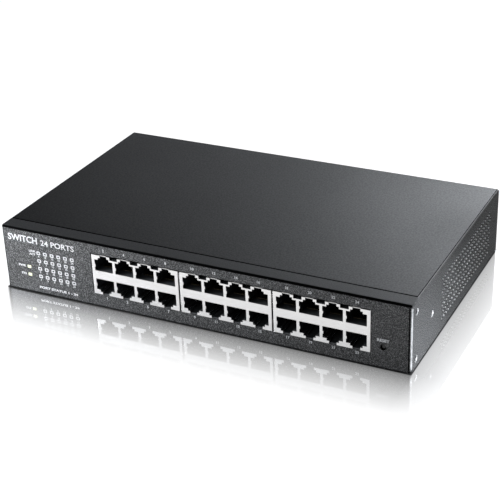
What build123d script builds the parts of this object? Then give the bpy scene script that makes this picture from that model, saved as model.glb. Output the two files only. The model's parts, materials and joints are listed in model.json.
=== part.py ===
"""Rackmount 24-port network switch in a bent steel case, as separate named pieces, one STEP each.

Millimetres, +Z up. The origin is the centre of the underside: X runs along the width, -Y is the
front with the ports, +Y is the rear with the mains inlet, and Z = 0 is the resting face.
"""

import os

from build123d import *

# ---- case ----
WIDTH = 267.0
DEPTH = 162.0
HEIGHT = 43.0
SHEET = 1.0
FRONT = -DEPTH / 2
REAR = DEPTH / 2
BEND_R = 1.6
EDGE_R = 1.2
INNER_R = 0.5
STRIP_DEPTH = 10.8
LID_GAP = 0.35
LID_SEAM = 0.8
LID_FLANGE_Z = 37.4
LID_FLANGE_FRONT = 6.0
LID_FLANGE_REAR = 4.0
REAR_FLANGE_INSET = 3.0
REAR_FLANGE_DROP = 2.4
LID_TAB_X = (-88.0, 0.0, 88.0)
LID_TAB_W = 40.0
LID_TAB_REACH = 5.0
LID_TAB_LAP = 4.0
LID_TAB_PLAY = 0.05
LID_BOSS = 3.5
FOOT_DIMPLE_R = 6.5
FOOT_DIMPLE_DEPTH = 0.5
FOOT_PAD_RIM = 0.5
FOOT_X = 112.0
FOOT_Y = 64.0

# ---- front panel plate ----
PANEL_T = 0.6
PANEL_INSET_X = 1.5
PANEL_BOTTOM = 0.9
PANEL_TOP = 42.1
PANEL_CORNER_R = 1.5
WALL_FRONT = FRONT + PANEL_T
WALL_BACK = WALL_FRONT + SHEET

# ---- side vents and rack-ear holes ----
VENT_R = 1.45
VENT_PITCH_Y = 4.07
VENT_PITCH_Z = 4.33
VENT_COLUMNS = 23
VENT_ROWS = 7
VENT_FIRST_Y = FRONT + 51.4
VENT_FIRST_Z = 8.4
EAR_HOLE_R = 1.65
EAR_RIM_R = 2.1
EAR_COLLAR_R = 3.0
EAR_COLLAR = 1.6
EAR_HOLES = ((FRONT + 7.6, 35.9), (FRONT + 33.6, 20.8), (FRONT + 7.6, 6.1))

# ---- stacked jack blocks ----
BLOCK_X = (-39.3, 20.5, 80.2)
BLOCK_W = 58.8
BLOCK_Z0 = 9.0
BLOCK_Z1 = 35.4
BLOCK_BACK = -55.6
WINDOW_UNDERLAP = 0.15
WALL_CLEAR = 0.6
SHIELD_T = 0.35
PORT_PITCH = 14.1
PORT_COLUMNS = 4
PORT_W = 12.4
PORT_DEPTH = 14.4
LOW_PORT_Z = (12.05, 19.45)
HIGH_PORT_Z = (24.95, 32.35)
KEY_WIDE = 7.5
KEY_NARROW = 4.7
KEY_STEP = 1.4
KEY_IN_HOUSING = 2.4
KEY_IN_SHIELD = 3.6
NOTCH_W = 5.2
NOTCH_DEPTH = 2.0
NOTCH_BACK = 4.0
SHIELD_PROUD = 0.15
SHIELD_FRONT = FRONT - SHIELD_PROUD
SHIELD_CORNER_R = 0.3
JACK_CLEAR = 0.7
NUB = 0.45
NUB_H = 1.8
NUB_DROP = 0.4
SPRING_T = 0.3
SPRING_Y = (FRONT + 3.0, FRONT + 8.0)
SPRING_Z = (13.5, 30.0)
SPRING_H = 3.0
HOUSING_GAP = 0.05
CHAMBER_WALL = 1.0
CHAMBER_FRONT = FRONT + PORT_DEPTH + 2.0
CHAMBER_TOP = 26.4
CONTACTS = 8
CONTACT_PITCH = 1.02
CONTACT_W = 0.32
CONTACT_REACH = 2.1
CONTACT_NOSE = FRONT + 3.6
CONTACT_TIP = FRONT + 11.0
CONTACT_LIFT = 0.25
CONTACT_BEND = 0.3
CONTACT_SLOT = 0.57
SLOT_SIDE = 0.2
SLOT_SINK = 0.02
UPPER_TAIL_Y = BLOCK_BACK - 2.6
LOWER_TAIL_Y = BLOCK_BACK - 5.2
TAIL_GAP = 0.05

# ---- boards ----
BOARD_T = 1.6
BOARD_TOP = 8.9
BOARD_BOTTOM = BOARD_TOP - BOARD_T
MAIN_BOARD = (-127.0, -79.0, 127.0, -8.0)
POWER_BOARD = (36.0, -2.0, 124.0, 54.0)
MAIN_SCREWS = ((-122.5, -60), (122.5, -58), (-122.5, -14), (0, -14), (122.5, -14), (-74.5, -72))
POWER_SCREWS = ((41, 3), (119, 3), (41, 49), (119, 49))
STANDOFF_R = 2.8
SCREW_R = 1.2
SCREW_HOLE_R = 1.25
SCREW_HEAD_R = 2.7
SCREW_HEAD_T = 1.6
SCREW_HEAD_ROUND = 0.7
RECESS_SPAN = 3.0
RECESS_SLOT = 0.6
RECESS_DEPTH = 0.9
CLEAR_HOLE_R = 1.6
BOARD_CORNER_R = 1.5
BOARD_SCREW_LENGTH = 6.0
STANDOFF_BLIND = 0.8

# ---- main board parts ----
MAGNETIC_Y = -47.6
MAGNETIC_SIZE = (12.4, 9.0, 5.6)
MAGNETIC_CHAMFER = 0.6
CHIP_T = 1.5
CHIP_LIFT = 0.1
CHIP_CHAMFER = 0.5
LEG_T = 0.3
LEG_LENGTH = 1.6
LEG_SHARE = 0.45
LEG_ROW_SHARE = 0.86
PHY_Y = -31.0
PHY_SIZE = 20.0
PHY_LEGS = 16
PHY_SINK = (20.0, 9.0, 7)
SWITCH_CHIP = (-88.0, -36.0)
SWITCH_SIZE = 28.0
SWITCH_LEGS = 24
SWITCH_SINK = (32.0, 13.0, 10)
SINK_BASE_T = 2.0
FIN_T = 1.0
SO_CHIPS = ((-112.0, -20.0), (-60.0, -18.0))
SO_SIZE = (4.0, 5.0, 1.6)
SO_PITCH = 1.27
SO_LEG = (1.4, 0.42)
SO_LEG_X = 2.6
CRYSTALS = ((-62.0, -27.0), (-6.0, -24.0), (52.0, -24.0))
CRYSTAL_SIZE = (11.0, 4.6, 3.5)
CRYSTAL_R = 2.2
SMALL_CAN_R = 3.15
SMALL_CAN_H = 7.5
SMALL_CAN_Y = -14.0
SMALL_CAN_X = (-100.0, -90.0, -36.0, -24.0, 24.0, 34.0, 74.0, 84.0)
ODD_CAN = (104.0, -30.0)
CAN_ROUND = 0.12
GROOVE_UP = 0.14
GROOVE_R = 0.6
GROOVE_OUT = 0.25
INDUCTORS = ((-118.0, -46.0), (-118.0, -34.0), (100.0, -16.0))
INDUCTOR_SIZE = (9.6, 9.6, 4.4)
INDUCTOR_CORNER_R = 1.6
INDUCTOR_DISH_R = 3.0
INDUCTOR_DISH = 0.4
RESISTOR_SIZE = (1.6, 0.8, 0.6)
RESISTOR_PITCH = 4.0
RESISTOR_COLUMNS = 14
RESISTOR_ROWS = (-38.0, -34.0)
RESISTOR_FRONT_Y = -54.0
RESISTOR_KEEP_OUT = 3.0

# ---- power board parts ----
SHEET_MARGIN = 2.0
SHEET_GAP = 0.05
SHEET_T = 0.4
SHEET_WALL_TOP = 26.0
FUSE = (110.0, 40.0)
FUSE_UP = 4.0
FUSE_TUBE = (2.5, 14.0)
FUSE_CAP = (2.6, 4.0)
FUSE_LENGTH = 20.0
FUSE_CLIP = (3.0, 5.0, 2.0)
X_CAPACITOR = (110.0, 28.0)
X_CAPACITOR_SIZE = (18.0, 8.5, 14.5)
X_CAPACITOR_R = 0.8
CHOKE = (110.0, 12.0)
CHOKE_SIZE = (18.0, 8.0, 18.0)
CHOKE_WINDOW = 8.0
CHOKE_LIFT = 1.0
COIL_SIZE = (8.4, 11.4, 7.4)
COIL_BORE = (5.2, 8.2)
COIL_R = 1.4
BRIDGE = (92.0, 40.0)
BRIDGE_SIZE = (14.0, 3.4, 10.5)
BRIDGE_LEGS = (11.0, 0.8, 1.5)
BRIDGE_LIFT = 1.0
BULK_CAPACITOR = (62.0, 44.4)
BULK_CAPACITOR_R = 8.0
BULK_CAPACITOR_H = 26.0
TRANSFORMER = (68.0, 24.0)
TRANSFORMER_LIFT = 4.0
CORE_SIZE = (25.0, 11.0, 20.0)
CORE_WINDOW = (6.4, 12.0)
CORE_WINDOW_X = 7.3
WINDING_SIZE = (20.4, 22.0, 11.4)
WINDING_BORE = (8.6, 11.4)
WINDING_R = 3.0
WINDING_LIFT = 0.3
BOBBIN_FOOT = (20.0, 4.8)
BOBBIN_FOOT_Y = 8.5
POWER_SINKS = ((88.0, 14.0, 30.0), (48.0, 22.0, 26.0))
POWER_SINK_T = 2.0
POWER_SINK_H = 24.0
POWER_SINK_LIP = 8.0
POWER_PACKS = ((88.0, 14.0), (48.0, 15.5), (48.0, 28.0))
PACK_SIZE = (4.6, 10.2, 9.0)
PACK_LIFT = 5.0
PACK_TAB = (1.4, 6.4)
PACK_LEG = (0.5, 1.0)
PACK_LEG_PITCH = 2.54
OUTPUT_CAN_X = 40.5
OUTPUT_CAN_Y = (13.0, 25.0, 37.0)
OUTPUT_CAN_R = 5.0
OUTPUT_CAN_H = 20.0
AC_TERMINAL = (92.0, 45.5)
AC_TERMINAL_SIZE = (12.0, 7.0, 6.0)
AC_WAY = 2.6
DC_HEADER_X = 56.0
DC_HEADER_Y = (3.4, -12.6)
DC_HEADER_SIZE = (13.0, 6.0, 7.0)
DC_WIRES = 4
DC_WIRE_PITCH = 2.8
DC_WIRE_R = 0.8
DC_ARCH = 7.0
DC_BEND = 4.0

# ---- status lamps and reset ----
LAMP_X0 = -107.3
LAMP_PITCH_X = 4.83
LAMP_COLUMNS = 6
LAMP_Z0 = 12.3
LAMP_PITCH_Z = 5.34
LAMP_ROWS = 4
LAMP_SIZE = (1.9, 1.1)
BIG_LAMP_X = -115.2
BIG_LAMP_Z = (12.3, 17.7)
BIG_LAMP_SIZE = (3.0, 2.1)
LAMP_CLEAR = 0.08
LAMP_RECESS = 0.05
PIPE_PLATE = (-117.6, 9.9, -81.0, 30.6)
LED_BOARD_Y = -76.0
LED_BOARD_RIM = 1.0
LED_SIZE = (1.6, 1.0)
LED_T = 0.8
LAMP_ROUND = 0.3
PIPE_T = 1.0
PIPE_GAP = 0.1
RESET_X = 117.1
RESET_Z = 13.8
RESET_HOLE_R = 1.85
RESET_PIN_R = 1.15
RESET_FIT = 0.05
RESET_FRONT = FRONT + 0.9
RESET_BODY = (7.2, 5.4, 7.6)
RESET_BODY_FRONT = -75.4
RESET_PIN_ROUND = 0.25
RESET_COLLAR_R = 1.8
RESET_COLLAR_T = 0.6
RESET_COLLAR_Y = RESET_BODY_FRONT + 1.0
RESET_CHAMBER_R = 2.2
RESET_CHAMBER = (RESET_BODY_FRONT + 0.6, RESET_BODY_FRONT + 2.4)

# ---- rear screws ----
COVER_SCREW_X = (-118.0, 0.0, 118.0)
COVER_SCREW_Z = 38.6
COVER_SCREW_LENGTH = 4.2
EARTH_SCREW = (52.0, 21.0)
EARTH_SCREW_LENGTH = 6.0
EARTH_HEAD_R = 4.0
EARTH_PAD_T = 1.5
EARTH_NUT_R = 3.2
EARTH_NUT_T = 2.4
LUG_R = 4.0
LUG_BORE_R = 1.9
LUG_T = 1.0
LUG_STRAP_W = 3.2
BARREL_UP = 6.0
BARREL_R = 1.8
BARREL_LENGTH = 3.0

# ---- mains inlet ----
INLET_X = 92.0
INLET_Z = 21.0
INLET_CUT = (27.4, 19.6)
INLET_CAVITY = (24.4, 16.6)
INLET_CAVITY_DEPTH = 17.0
INLET_BODY_BACK = 60.0
INLET_FLANGE = (49.0, 23.0, 2.6)
INLET_SCREW_SPAN = 40.0
INLET_SCREW_LENGTH = 3.4
INLET_FIT = 0.3
INLET_KEY_CHAMFER = 4.4
INLET_FLANGE_R = 3.0
PIN_SPAN = 14.0
PIN_EARTH_UP = 4.0
PIN_DROP = 2.0
PIN_SIZE = (2.0, 4.0)
PIN_FIT = 0.1
PIN_CHAMFER = 0.5
PIN_TIP = REAR - 1.5
PIN_SLOT_END = REAR - 10.0
PIN_ROOT = 0.5
TAB_SIZE = (0.8, 4.8)
TAB_END = 52.0
SLEEVE_SIZE = (3.6, 7.0)
SLEEVE_LENGTH = 9.0
SLEEVE_FRONT = TAB_END - 2.0
SLEEVE_R = 1.0
SLEEVE_BORE = (1.0, 5.0)
SLEEVE_STOP = 0.3
MAINS_WIRE_R = 1.0
MAINS_BEND = 1.6
EARTH_BEND = 3.0
EARTH_DIP = 4.5
EARTH_RISE = 14.0
EARTH_RUN = 18.0
BARREL_GAP = 2.2


def block(x0, y0, z0, x1, y1, z1):
    """Box between two corners."""
    size = (x1 - x0, y1 - y0, z1 - z0)
    return Pos((x0 + x1) / 2, (y0 + y1) / 2, (z0 + z1) / 2) * Box(*size)


def box_at(x, y, z, sx, sy, sz):
    """Box centred on x and y that stands on z."""
    return block(x - sx / 2, y - sy / 2, z, x + sx / 2, y + sy / 2, z + sz)


def post(x, y, z, radius, height):
    """Upright cylinder that stands on z."""
    return Pos(x, y, z + height / 2) * Cylinder(radius, height)


def rod_x(x0, x1, y, z, radius):
    """Cylinder along X between x0 and x1."""
    return Pos((x0 + x1) / 2, y, z) * Rot(0, 90, 0) * Cylinder(radius, abs(x1 - x0))


def rod_y(y0, y1, x, z, radius):
    """Cylinder along Y between y0 and y1."""
    return Pos(x, (y0 + y1) / 2, z) * Rot(90, 0, 0) * Cylinder(radius, abs(y1 - y0))


def round_plate_y(x, z, sx, sz, radius, y0, y1):
    """Rounded rectangle in the XZ plane, thick from y0 to y1."""
    face = Plane((x, y1, z), x_dir=(1, 0, 0), z_dir=(0, -1, 0)) * RectangleRounded(sx, sz, radius)
    return extrude(face, amount=y1 - y0)


def save(name, shape):
    """Write one node as a STEP of its separate solids."""
    solids = shape.solids()
    whole = solids[0] if len(solids) == 1 else Compound(children=list(solids))
    whole.label = name
    export_step(whole, f"parts/{name}.step")


def save_group(name, shapes):
    """Write separate pieces of one kind as a single node."""
    solids = [solid for shape in shapes for solid in shape.solids()]
    whole = Compound(children=solids)
    whole.label = name
    export_step(whole, f"parts/{name}.step")


# ---- positions shared between parts ----
def port_columns(block_x):
    """X of each port column in a jack block."""
    first = block_x - PORT_PITCH * (PORT_COLUMNS - 1) / 2
    return [first + PORT_PITCH * i for i in range(PORT_COLUMNS)]


def lamp_places():
    """X, Z and size of every lamp window."""
    small = [
        (LAMP_X0 + LAMP_PITCH_X * i, LAMP_Z0 + LAMP_PITCH_Z * j, LAMP_SIZE)
        for i in range(LAMP_COLUMNS)
        for j in range(LAMP_ROWS)
    ]
    big = [(BIG_LAMP_X, z, BIG_LAMP_SIZE) for z in BIG_LAMP_Z]
    return small + big


def vent_places():
    """Y and Z of every vent hole on a side wall, in staggered rows."""
    places = []
    for row in range(VENT_ROWS):
        shift = VENT_PITCH_Y / 2 if row % 2 else 0
        for column in range(VENT_COLUMNS):
            y = VENT_FIRST_Y + shift + VENT_PITCH_Y * column
            places.append((y, VENT_FIRST_Z + VENT_PITCH_Z * row))
    return places


# ---- case pieces ----
def chassis_shell():
    """Bent tray: floor, side walls, rear wall, front wall and the strip on top of the front."""
    half = WIDTH / 2
    outer = block(-half, WALL_FRONT, 0, half, REAR, HEIGHT)
    corners = outer.edges().filter_by(Axis.Z)
    outer = fillet(corners, BEND_R)
    outer = fillet(outer.faces().sort_by(Axis.Z)[0].edges(), EDGE_R)
    top = outer.faces().sort_by(Axis.Z)[-1]
    outer = fillet(top.edges().filter_by(Axis.X).sort_by(Axis.Y)[0], EDGE_R)
    inner = block(-half + SHEET, WALL_BACK, SHEET, half - SHEET, REAR - SHEET, HEIGHT - SHEET)
    inner = fillet(inner.faces().sort_by(Axis.Z)[0].edges(), INNER_R)
    mouth_front = FRONT + STRIP_DEPTH
    mouth = block(-half + SHEET, mouth_front, HEIGHT / 2, half - SHEET, REAR - SHEET, HEIGHT + 1)
    return outer - inner - mouth


def foot_dimples():
    """Shallow round pockets in the underside for stick-on feet, and the pads they raise inside."""
    pockets = []
    pads = []
    for x in (-FOOT_X, FOOT_X):
        for y in (-FOOT_Y, FOOT_Y):
            pockets.append(post(x, y, 0, FOOT_DIMPLE_R, FOOT_DIMPLE_DEPTH))
            pads.append(post(x, y, SHEET, FOOT_DIMPLE_R + FOOT_PAD_RIM, FOOT_DIMPLE_DEPTH))
    return pockets, pads


def ear_collars():
    """Extruded tapped collars for the rack-ear screws, and the bores through them."""
    collars = []
    bores = []
    for side in (-1, 1):
        outside = side * WIDTH / 2
        inside = side * (WIDTH / 2 - SHEET)
        for y, z in EAR_HOLES:
            collars.append(rod_x(inside, inside - side * EAR_COLLAR, y, z, EAR_COLLAR_R))
            bores.append(rod_x(outside, inside - side * EAR_COLLAR, y, z, EAR_HOLE_R))
            rim = Cone(EAR_HOLE_R, EAR_RIM_R, EAR_RIM_R - EAR_HOLE_R)
            depth = EAR_RIM_R - EAR_HOLE_R
            bores.append(Pos(outside - side * depth / 2, y, z) * Rot(0, 90 * side, 0) * rim)
    return collars, bores


def jack_window(y0, y1):
    """The one long opening that all three jack blocks stand in."""
    x0 = BLOCK_X[0] - BLOCK_W / 2 - JACK_CLEAR
    x1 = BLOCK_X[-1] + BLOCK_W / 2 + JACK_CLEAR / 2
    return block(x0, y0, BLOCK_Z0 - WINDOW_UNDERLAP, x1, y1, BLOCK_Z1 + JACK_CLEAR)


def rear_openings():
    """Cut-outs in the rear wall: inlet, its screws, the cover screws and the earth screw."""
    y0 = REAR - 2 * SHEET
    y1 = REAR + 1
    cuts = [block_around(INLET_X, INLET_Z, INLET_CUT, y0, y1)]
    for side in (-1, 1):
        x = INLET_X + side * INLET_SCREW_SPAN / 2
        cuts.append(rod_y(y0, y1, x, INLET_Z, CLEAR_HOLE_R))
    for x in COVER_SCREW_X:
        cuts.append(rod_y(y0, y1, x, COVER_SCREW_Z, CLEAR_HOLE_R))
    cuts.append(rod_y(y0 - EARTH_PAD_T, y1, *EARTH_SCREW, SCREW_HOLE_R))
    return cuts


def block_around(x, z, size, y0, y1):
    """Box from y0 to y1 around a point in the XZ plane."""
    return block(x - size[0] / 2, y0, z - size[1] / 2, x + size[0] / 2, y1, z + size[1] / 2)


def chassis_base():
    """The whole base tray with every opening in it."""
    pockets, pads = foot_dimples()
    collars, bores = ear_collars()
    earth_pad = rod_y(REAR - SHEET - EARTH_PAD_T, REAR - SHEET, *EARTH_SCREW, STANDOFF_R)
    tray = chassis_shell().fuse(*pads, *collars, earth_pad)
    reach = WIDTH / 2 + 1
    cuts = list(pockets) + list(bores) + rear_openings()
    cuts.append(jack_window(WALL_FRONT - 1, WALL_BACK + 1))
    x0, z0, x1, z1 = PIPE_PLATE
    rim = WALL_CLEAR
    cuts.append(block(x0 + rim, WALL_FRONT - 1, z0 + rim, x1 - rim, WALL_BACK + 1, z1 - rim))
    cuts.append(rod_y(WALL_FRONT - 1, WALL_BACK + 1, RESET_X, RESET_Z, RESET_HOLE_R + WALL_CLEAR))
    for y, z in vent_places():
        cuts.append(rod_x(-reach, -WIDTH / 2 + 2 * SHEET, y, z, VENT_R))
        cuts.append(rod_x(WIDTH / 2 - 2 * SHEET, reach, y, z, VENT_R))
    return tray.cut(*cuts)


def top_cover():
    """Lid inset between the side walls, with tabs under the front strip and a rear flange."""
    half = WIDTH / 2 - SHEET - LID_GAP
    y0 = FRONT + STRIP_DEPTH + LID_SEAM
    y1 = REAR - SHEET - LID_GAP
    inside_lid = HEIGHT - SHEET / 2
    lid = block(-half, y0, HEIGHT - SHEET, half, y1, HEIGHT)
    pieces = []
    for side in (-1, 1):
        edge = side * half
        inner = side * (half - SHEET)
        low, high = min(edge, inner), max(edge, inner)
        flange_y = (y0 + LID_FLANGE_FRONT, y1 - LID_FLANGE_REAR)
        pieces.append(block(low, flange_y[0], LID_FLANGE_Z, high, flange_y[1], inside_lid))
    reach = half - REAR_FLANGE_INSET
    pieces.append(block(-reach, y1 - SHEET, LID_FLANGE_Z - REAR_FLANGE_DROP, reach, y1, inside_lid))
    tab_top = HEIGHT - SHEET - LID_TAB_PLAY
    for x in LID_TAB_X:
        x0 = x - LID_TAB_W / 2
        x1 = x + LID_TAB_W / 2
        pieces.append(block(x0, y0 - LID_TAB_REACH, tab_top - SHEET, x1, y0 + LID_TAB_LAP, tab_top))
        pieces.append(block(x0, y0, tab_top - SHEET, x1, y0 + LID_TAB_LAP, inside_lid))
    for x in COVER_SCREW_X:
        pieces.append(rod_y(y1 - LID_BOSS, y1, x, COVER_SCREW_Z, STANDOFF_R))
    lid = lid.fuse(*pieces)
    bores = [rod_y(y1 - LID_BOSS - 1, y1 + 1, x, COVER_SCREW_Z, SCREW_HOLE_R) for x in COVER_SCREW_X]
    return lid.cut(*bores)


def pan_screw_y(x, z, face, length, head_r=SCREW_HEAD_R):
    """Pan-head screw driven forward through the rear wall."""
    head = rod_y(face, face + SCREW_HEAD_T, x, z, head_r)
    head = fillet(head.edges().sort_by(Axis.Y)[-1], SCREW_HEAD_ROUND)
    shank = rod_y(face - length, face, x, z, SCREW_R)
    return (head + shank) - cross_recess().moved(Location((x, face + SCREW_HEAD_T, z)))


def cross_recess():
    """Cross-shaped driver recess, cut down from the origin along -Y."""
    across = Box(RECESS_SPAN, 2 * RECESS_DEPTH, RECESS_SLOT)
    return across + Box(RECESS_SLOT, 2 * RECESS_DEPTH, RECESS_SPAN)


def pan_screw_z(x, y, z, length):
    """Pan-head screw driven down into a standoff."""
    head = post(x, y, z, SCREW_HEAD_R, SCREW_HEAD_T)
    head = fillet(head.edges().sort_by(Axis.Z)[-1], SCREW_HEAD_ROUND)
    shank = post(x, y, z - length, SCREW_R, length)
    recess = Pos(x, y, z + SCREW_HEAD_T) * Rot(90, 0, 0) * cross_recess()
    return (head + shank) - recess


def cover_screws():
    """Screws that hold the lid flange to the rear wall."""
    return [pan_screw_y(x, COVER_SCREW_Z, REAR, COVER_SCREW_LENGTH) for x in COVER_SCREW_X]


def front_panel():
    """Face plate with the long jack opening, lamp windows and the reset hole."""
    width = WIDTH - 2 * PANEL_INSET_X
    height = PANEL_TOP - PANEL_BOTTOM
    middle = (PANEL_TOP + PANEL_BOTTOM) / 2
    plate = round_plate_y(0, middle, width, height, PANEL_CORNER_R, FRONT, WALL_FRONT)
    y0 = FRONT - 1
    y1 = WALL_FRONT + 1
    cuts = [jack_window(y0, y1), rod_y(y0, y1, RESET_X, RESET_Z, RESET_HOLE_R)]
    for x, z, size in lamp_places():
        radius = size[1] * LAMP_ROUND
        cuts.append(round_plate_y(x, z, size[0], size[1], radius, y0, y1))
    return plate.cut(*cuts)


# ---- jack blocks ----
def port_profile(x, upper, key_depth):
    """Boxes that make one port opening with its stepped latch keyway, as XZ rectangles."""
    z0, z1 = HIGH_PORT_Z if upper else LOW_PORT_Z
    edge = z1 if upper else z0
    way = 1 if upper else -1
    rows = [(PORT_W, z0, z1)]
    rows.append((KEY_WIDE, edge - way, edge + way * KEY_STEP))
    rows.append((KEY_NARROW, edge - way, edge + way * key_depth))
    return [(x - w / 2, min(a, b), x + w / 2, max(a, b)) for w, a, b in rows]


def port_cuts(block_x, y0, y1, key_depth):
    """Cutters for all eight ports of a block between y0 and y1."""
    cuts = []
    for x in port_columns(block_x):
        for upper in (False, True):
            for x0, z0, x1, z1 in port_profile(x, upper, key_depth):
                cuts.append(block(x0, y0, z0, x1, y1, z1))
    return cuts


def shield_notches(block_x):
    """Relief notches in the top front edge, one above each wall between ports."""
    cuts = []
    for x in port_columns(block_x)[:-1]:
        middle = x + PORT_PITCH / 2
        low = BLOCK_Z1 - NOTCH_DEPTH
        back = FRONT + NOTCH_BACK
        top = BLOCK_Z1 + 1
        cuts.append(block(middle - NOTCH_W / 2, SHIELD_FRONT - 1, low, middle + NOTCH_W / 2, back, top))
    return cuts


def jack_shield(block_x):
    """Tinned sheet shell over a jack block, open underneath, with the port openings in its face."""
    x0 = block_x - BLOCK_W / 2
    x1 = block_x + BLOCK_W / 2
    outer = block(x0, SHIELD_FRONT, BLOCK_Z0, x1, BLOCK_BACK, BLOCK_Z1)
    outer = fillet(outer.edges().filter_by(Axis.Z).sort_by(Axis.Y)[:2], SHIELD_CORNER_R)
    t = SHIELD_T
    hollow = block(x0 + t, SHIELD_FRONT + t, BLOCK_Z0 - 1, x1 - t, BLOCK_BACK - t, BLOCK_Z1 - t)
    cuts = [hollow] + shield_notches(block_x)
    cuts += port_cuts(block_x, SHIELD_FRONT - 1, FRONT + t, KEY_IN_SHIELD)
    fingers = []
    for x in port_columns(block_x):
        for z0, z1 in (LOW_PORT_Z, HIGH_PORT_Z):
            left = x - PORT_W / 2
            low = (z0 + z1) / 2 - NUB_DROP - NUB_H / 2
            fingers.append(block(left - NUB, SHIELD_FRONT, low, left + NUB, SHIELD_FRONT + t, low + NUB_H))
    for edge, outside in ((x0, x0 - SPRING_T), (x1, x1 + SPRING_T)):
        for z in SPRING_Z:
            corners = (min(edge, outside), max(edge, outside))
            low = z - SPRING_H / 2
            fingers.append(block(corners[0], SPRING_Y[0], low, corners[1], SPRING_Y[1], low + SPRING_H))
    return outer.cut(*cuts).fuse(*fingers)


def jack_housing(block_x):
    """Black moulding with eight port cavities and a chamber behind them for the solder tails."""
    t = SHIELD_T + HOUSING_GAP
    x0 = block_x - BLOCK_W / 2 + t
    x1 = block_x + BLOCK_W / 2 - t
    body = block(x0, SHIELD_FRONT + t, BLOCK_Z0, x1, BLOCK_BACK - t, BLOCK_Z1 - t)
    back = FRONT + PORT_DEPTH
    cuts = port_cuts(block_x, SHIELD_FRONT - 1, back, KEY_IN_HOUSING) + shield_notches(block_x)
    wall = CHAMBER_WALL
    rear = BLOCK_BACK - t - wall
    cuts.append(block(x0 + wall, CHAMBER_FRONT, BLOCK_Z0 - 1, x1 - wall, rear, CHAMBER_TOP))
    half = CONTACT_PITCH * CONTACTS / 2 + SLOT_SIDE
    slot = CONTACT_SLOT
    for x in port_columns(block_x):
        for floor in (HIGH_PORT_Z[0] + SLOT_SINK, LOW_PORT_Z[1] - SLOT_SINK - slot):
            cuts.append(block(x - half, back - 1, floor, x + half, CHAMBER_FRONT + 1, floor + slot))
    return body.cut(*cuts)


def contact_wire(upper):
    """One sprung contact: sloping tip, run along the cavity wall and solder tail down to the board."""
    back = UPPER_TAIL_Y if upper else LOWER_TAIL_Y
    wall = HIGH_PORT_Z[0] + CONTACT_LIFT if upper else LOW_PORT_Z[1] - CONTACT_LIFT
    tip = wall + CONTACT_REACH if upper else wall - CONTACT_REACH
    points = [(CONTACT_TIP, tip), (CONTACT_NOSE, wall), (back, wall), (back, BOARD_TOP + TAIL_GAP)]
    with BuildSketch(Plane.YZ) as sketch:
        with BuildLine():
            FilletPolyline(*points, radius=CONTACT_BEND)
        trace(line_width=CONTACT_W)
    return extrude(sketch.sketch, amount=CONTACT_W / 2, both=True)


def jack_contacts(block_x):
    """All the contacts of one block."""
    wires = []
    for upper in (False, True):
        wire = contact_wire(upper)
        for x in port_columns(block_x):
            for i in range(CONTACTS):
                shift = (i - (CONTACTS - 1) / 2) * CONTACT_PITCH
                wires.append(Pos(x + shift, 0, 0) * wire)
    return wires


# ---- lamps and reset ----
def light_pipes():
    """Clear moulding: a plate behind the front wall with one pin through each window."""
    x0, z0, x1, z1 = PIPE_PLATE
    back = WALL_BACK + PIPE_GAP
    plate = block(x0, back, z0, x1, back + PIPE_T, z1)
    pins = []
    for x, z, size in lamp_places():
        sx = size[0] - 2 * LAMP_CLEAR
        sz = size[1] - 2 * LAMP_CLEAR
        pins.append(round_plate_y(x, z, sx, sz, sz * LAMP_ROUND, FRONT + LAMP_RECESS, back + PIPE_T / 2))
    return plate.fuse(*pins)


def led_board():
    """Small upright board that stands on the main board behind the light pipes."""
    x0, z0, x1, z1 = PIPE_PLATE
    rim = LED_BOARD_RIM
    return block(x0 - rim, LED_BOARD_Y, BOARD_TOP, x1 + rim, LED_BOARD_Y + BOARD_T, z1 + rim)


def status_leds():
    """Surface lamps on the front of the upright board, one behind each pipe."""
    return [block_around(x, z, LED_SIZE, LED_BOARD_Y - LED_T, LED_BOARD_Y) for x, z, _ in lamp_places()]


def reset_switch():
    """Body of the push switch with a bore for its plunger."""
    sx, sy, sz = RESET_BODY
    body = box_at(RESET_X, RESET_BODY_FRONT + sy / 2, BOARD_TOP, sx, sy, sz)
    bore_end = RESET_CHAMBER[0] + RESET_FIT
    bore = rod_y(RESET_BODY_FRONT - 1, bore_end, RESET_X, RESET_Z, RESET_PIN_R + RESET_FIT)
    chamber = rod_y(*RESET_CHAMBER, RESET_X, RESET_Z, RESET_CHAMBER_R)
    return body.cut(bore, chamber)


def reset_button():
    """Plunger: a pin that ends inside the panel hole and a collar held in the switch body."""
    collar = rod_y(RESET_COLLAR_Y, RESET_COLLAR_Y + RESET_COLLAR_T, RESET_X, RESET_Z, RESET_COLLAR_R)
    pin = rod_y(RESET_FRONT, RESET_COLLAR_Y + RESET_COLLAR_T / 2, RESET_X, RESET_Z, RESET_PIN_R)
    pin = fillet(pin.edges().sort_by(Axis.Y)[0], RESET_PIN_ROUND)
    return pin + collar


# ---- boards ----
def board(corners, screw_places):
    """Flat board with clearance holes at its screws."""
    x0, y0, x1, y1 = corners
    plate = block(x0, y0, BOARD_BOTTOM, x1, y1, BOARD_TOP)
    plate = fillet(plate.edges().filter_by(Axis.Z), BOARD_CORNER_R)
    holes = [post(x, y, BOARD_BOTTOM - 1, CLEAR_HOLE_R, BOARD_T + 2) for x, y in screw_places]
    return plate.cut(*holes)


def standoffs(places):
    """Pressed-in spacers on the case floor, tapped down their middle."""
    height = BOARD_BOTTOM - SHEET
    spacers = []
    for x, y in places:
        spacer = post(x, y, SHEET, STANDOFF_R, height)
        spacers.append(spacer - post(x, y, SHEET + STANDOFF_BLIND, SCREW_HOLE_R, height))
    return spacers


def board_screws(places):
    """Screws that hold a board to its spacers."""
    return [pan_screw_z(x, y, BOARD_TOP, BOARD_SCREW_LENGTH) for x, y in places]


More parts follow.
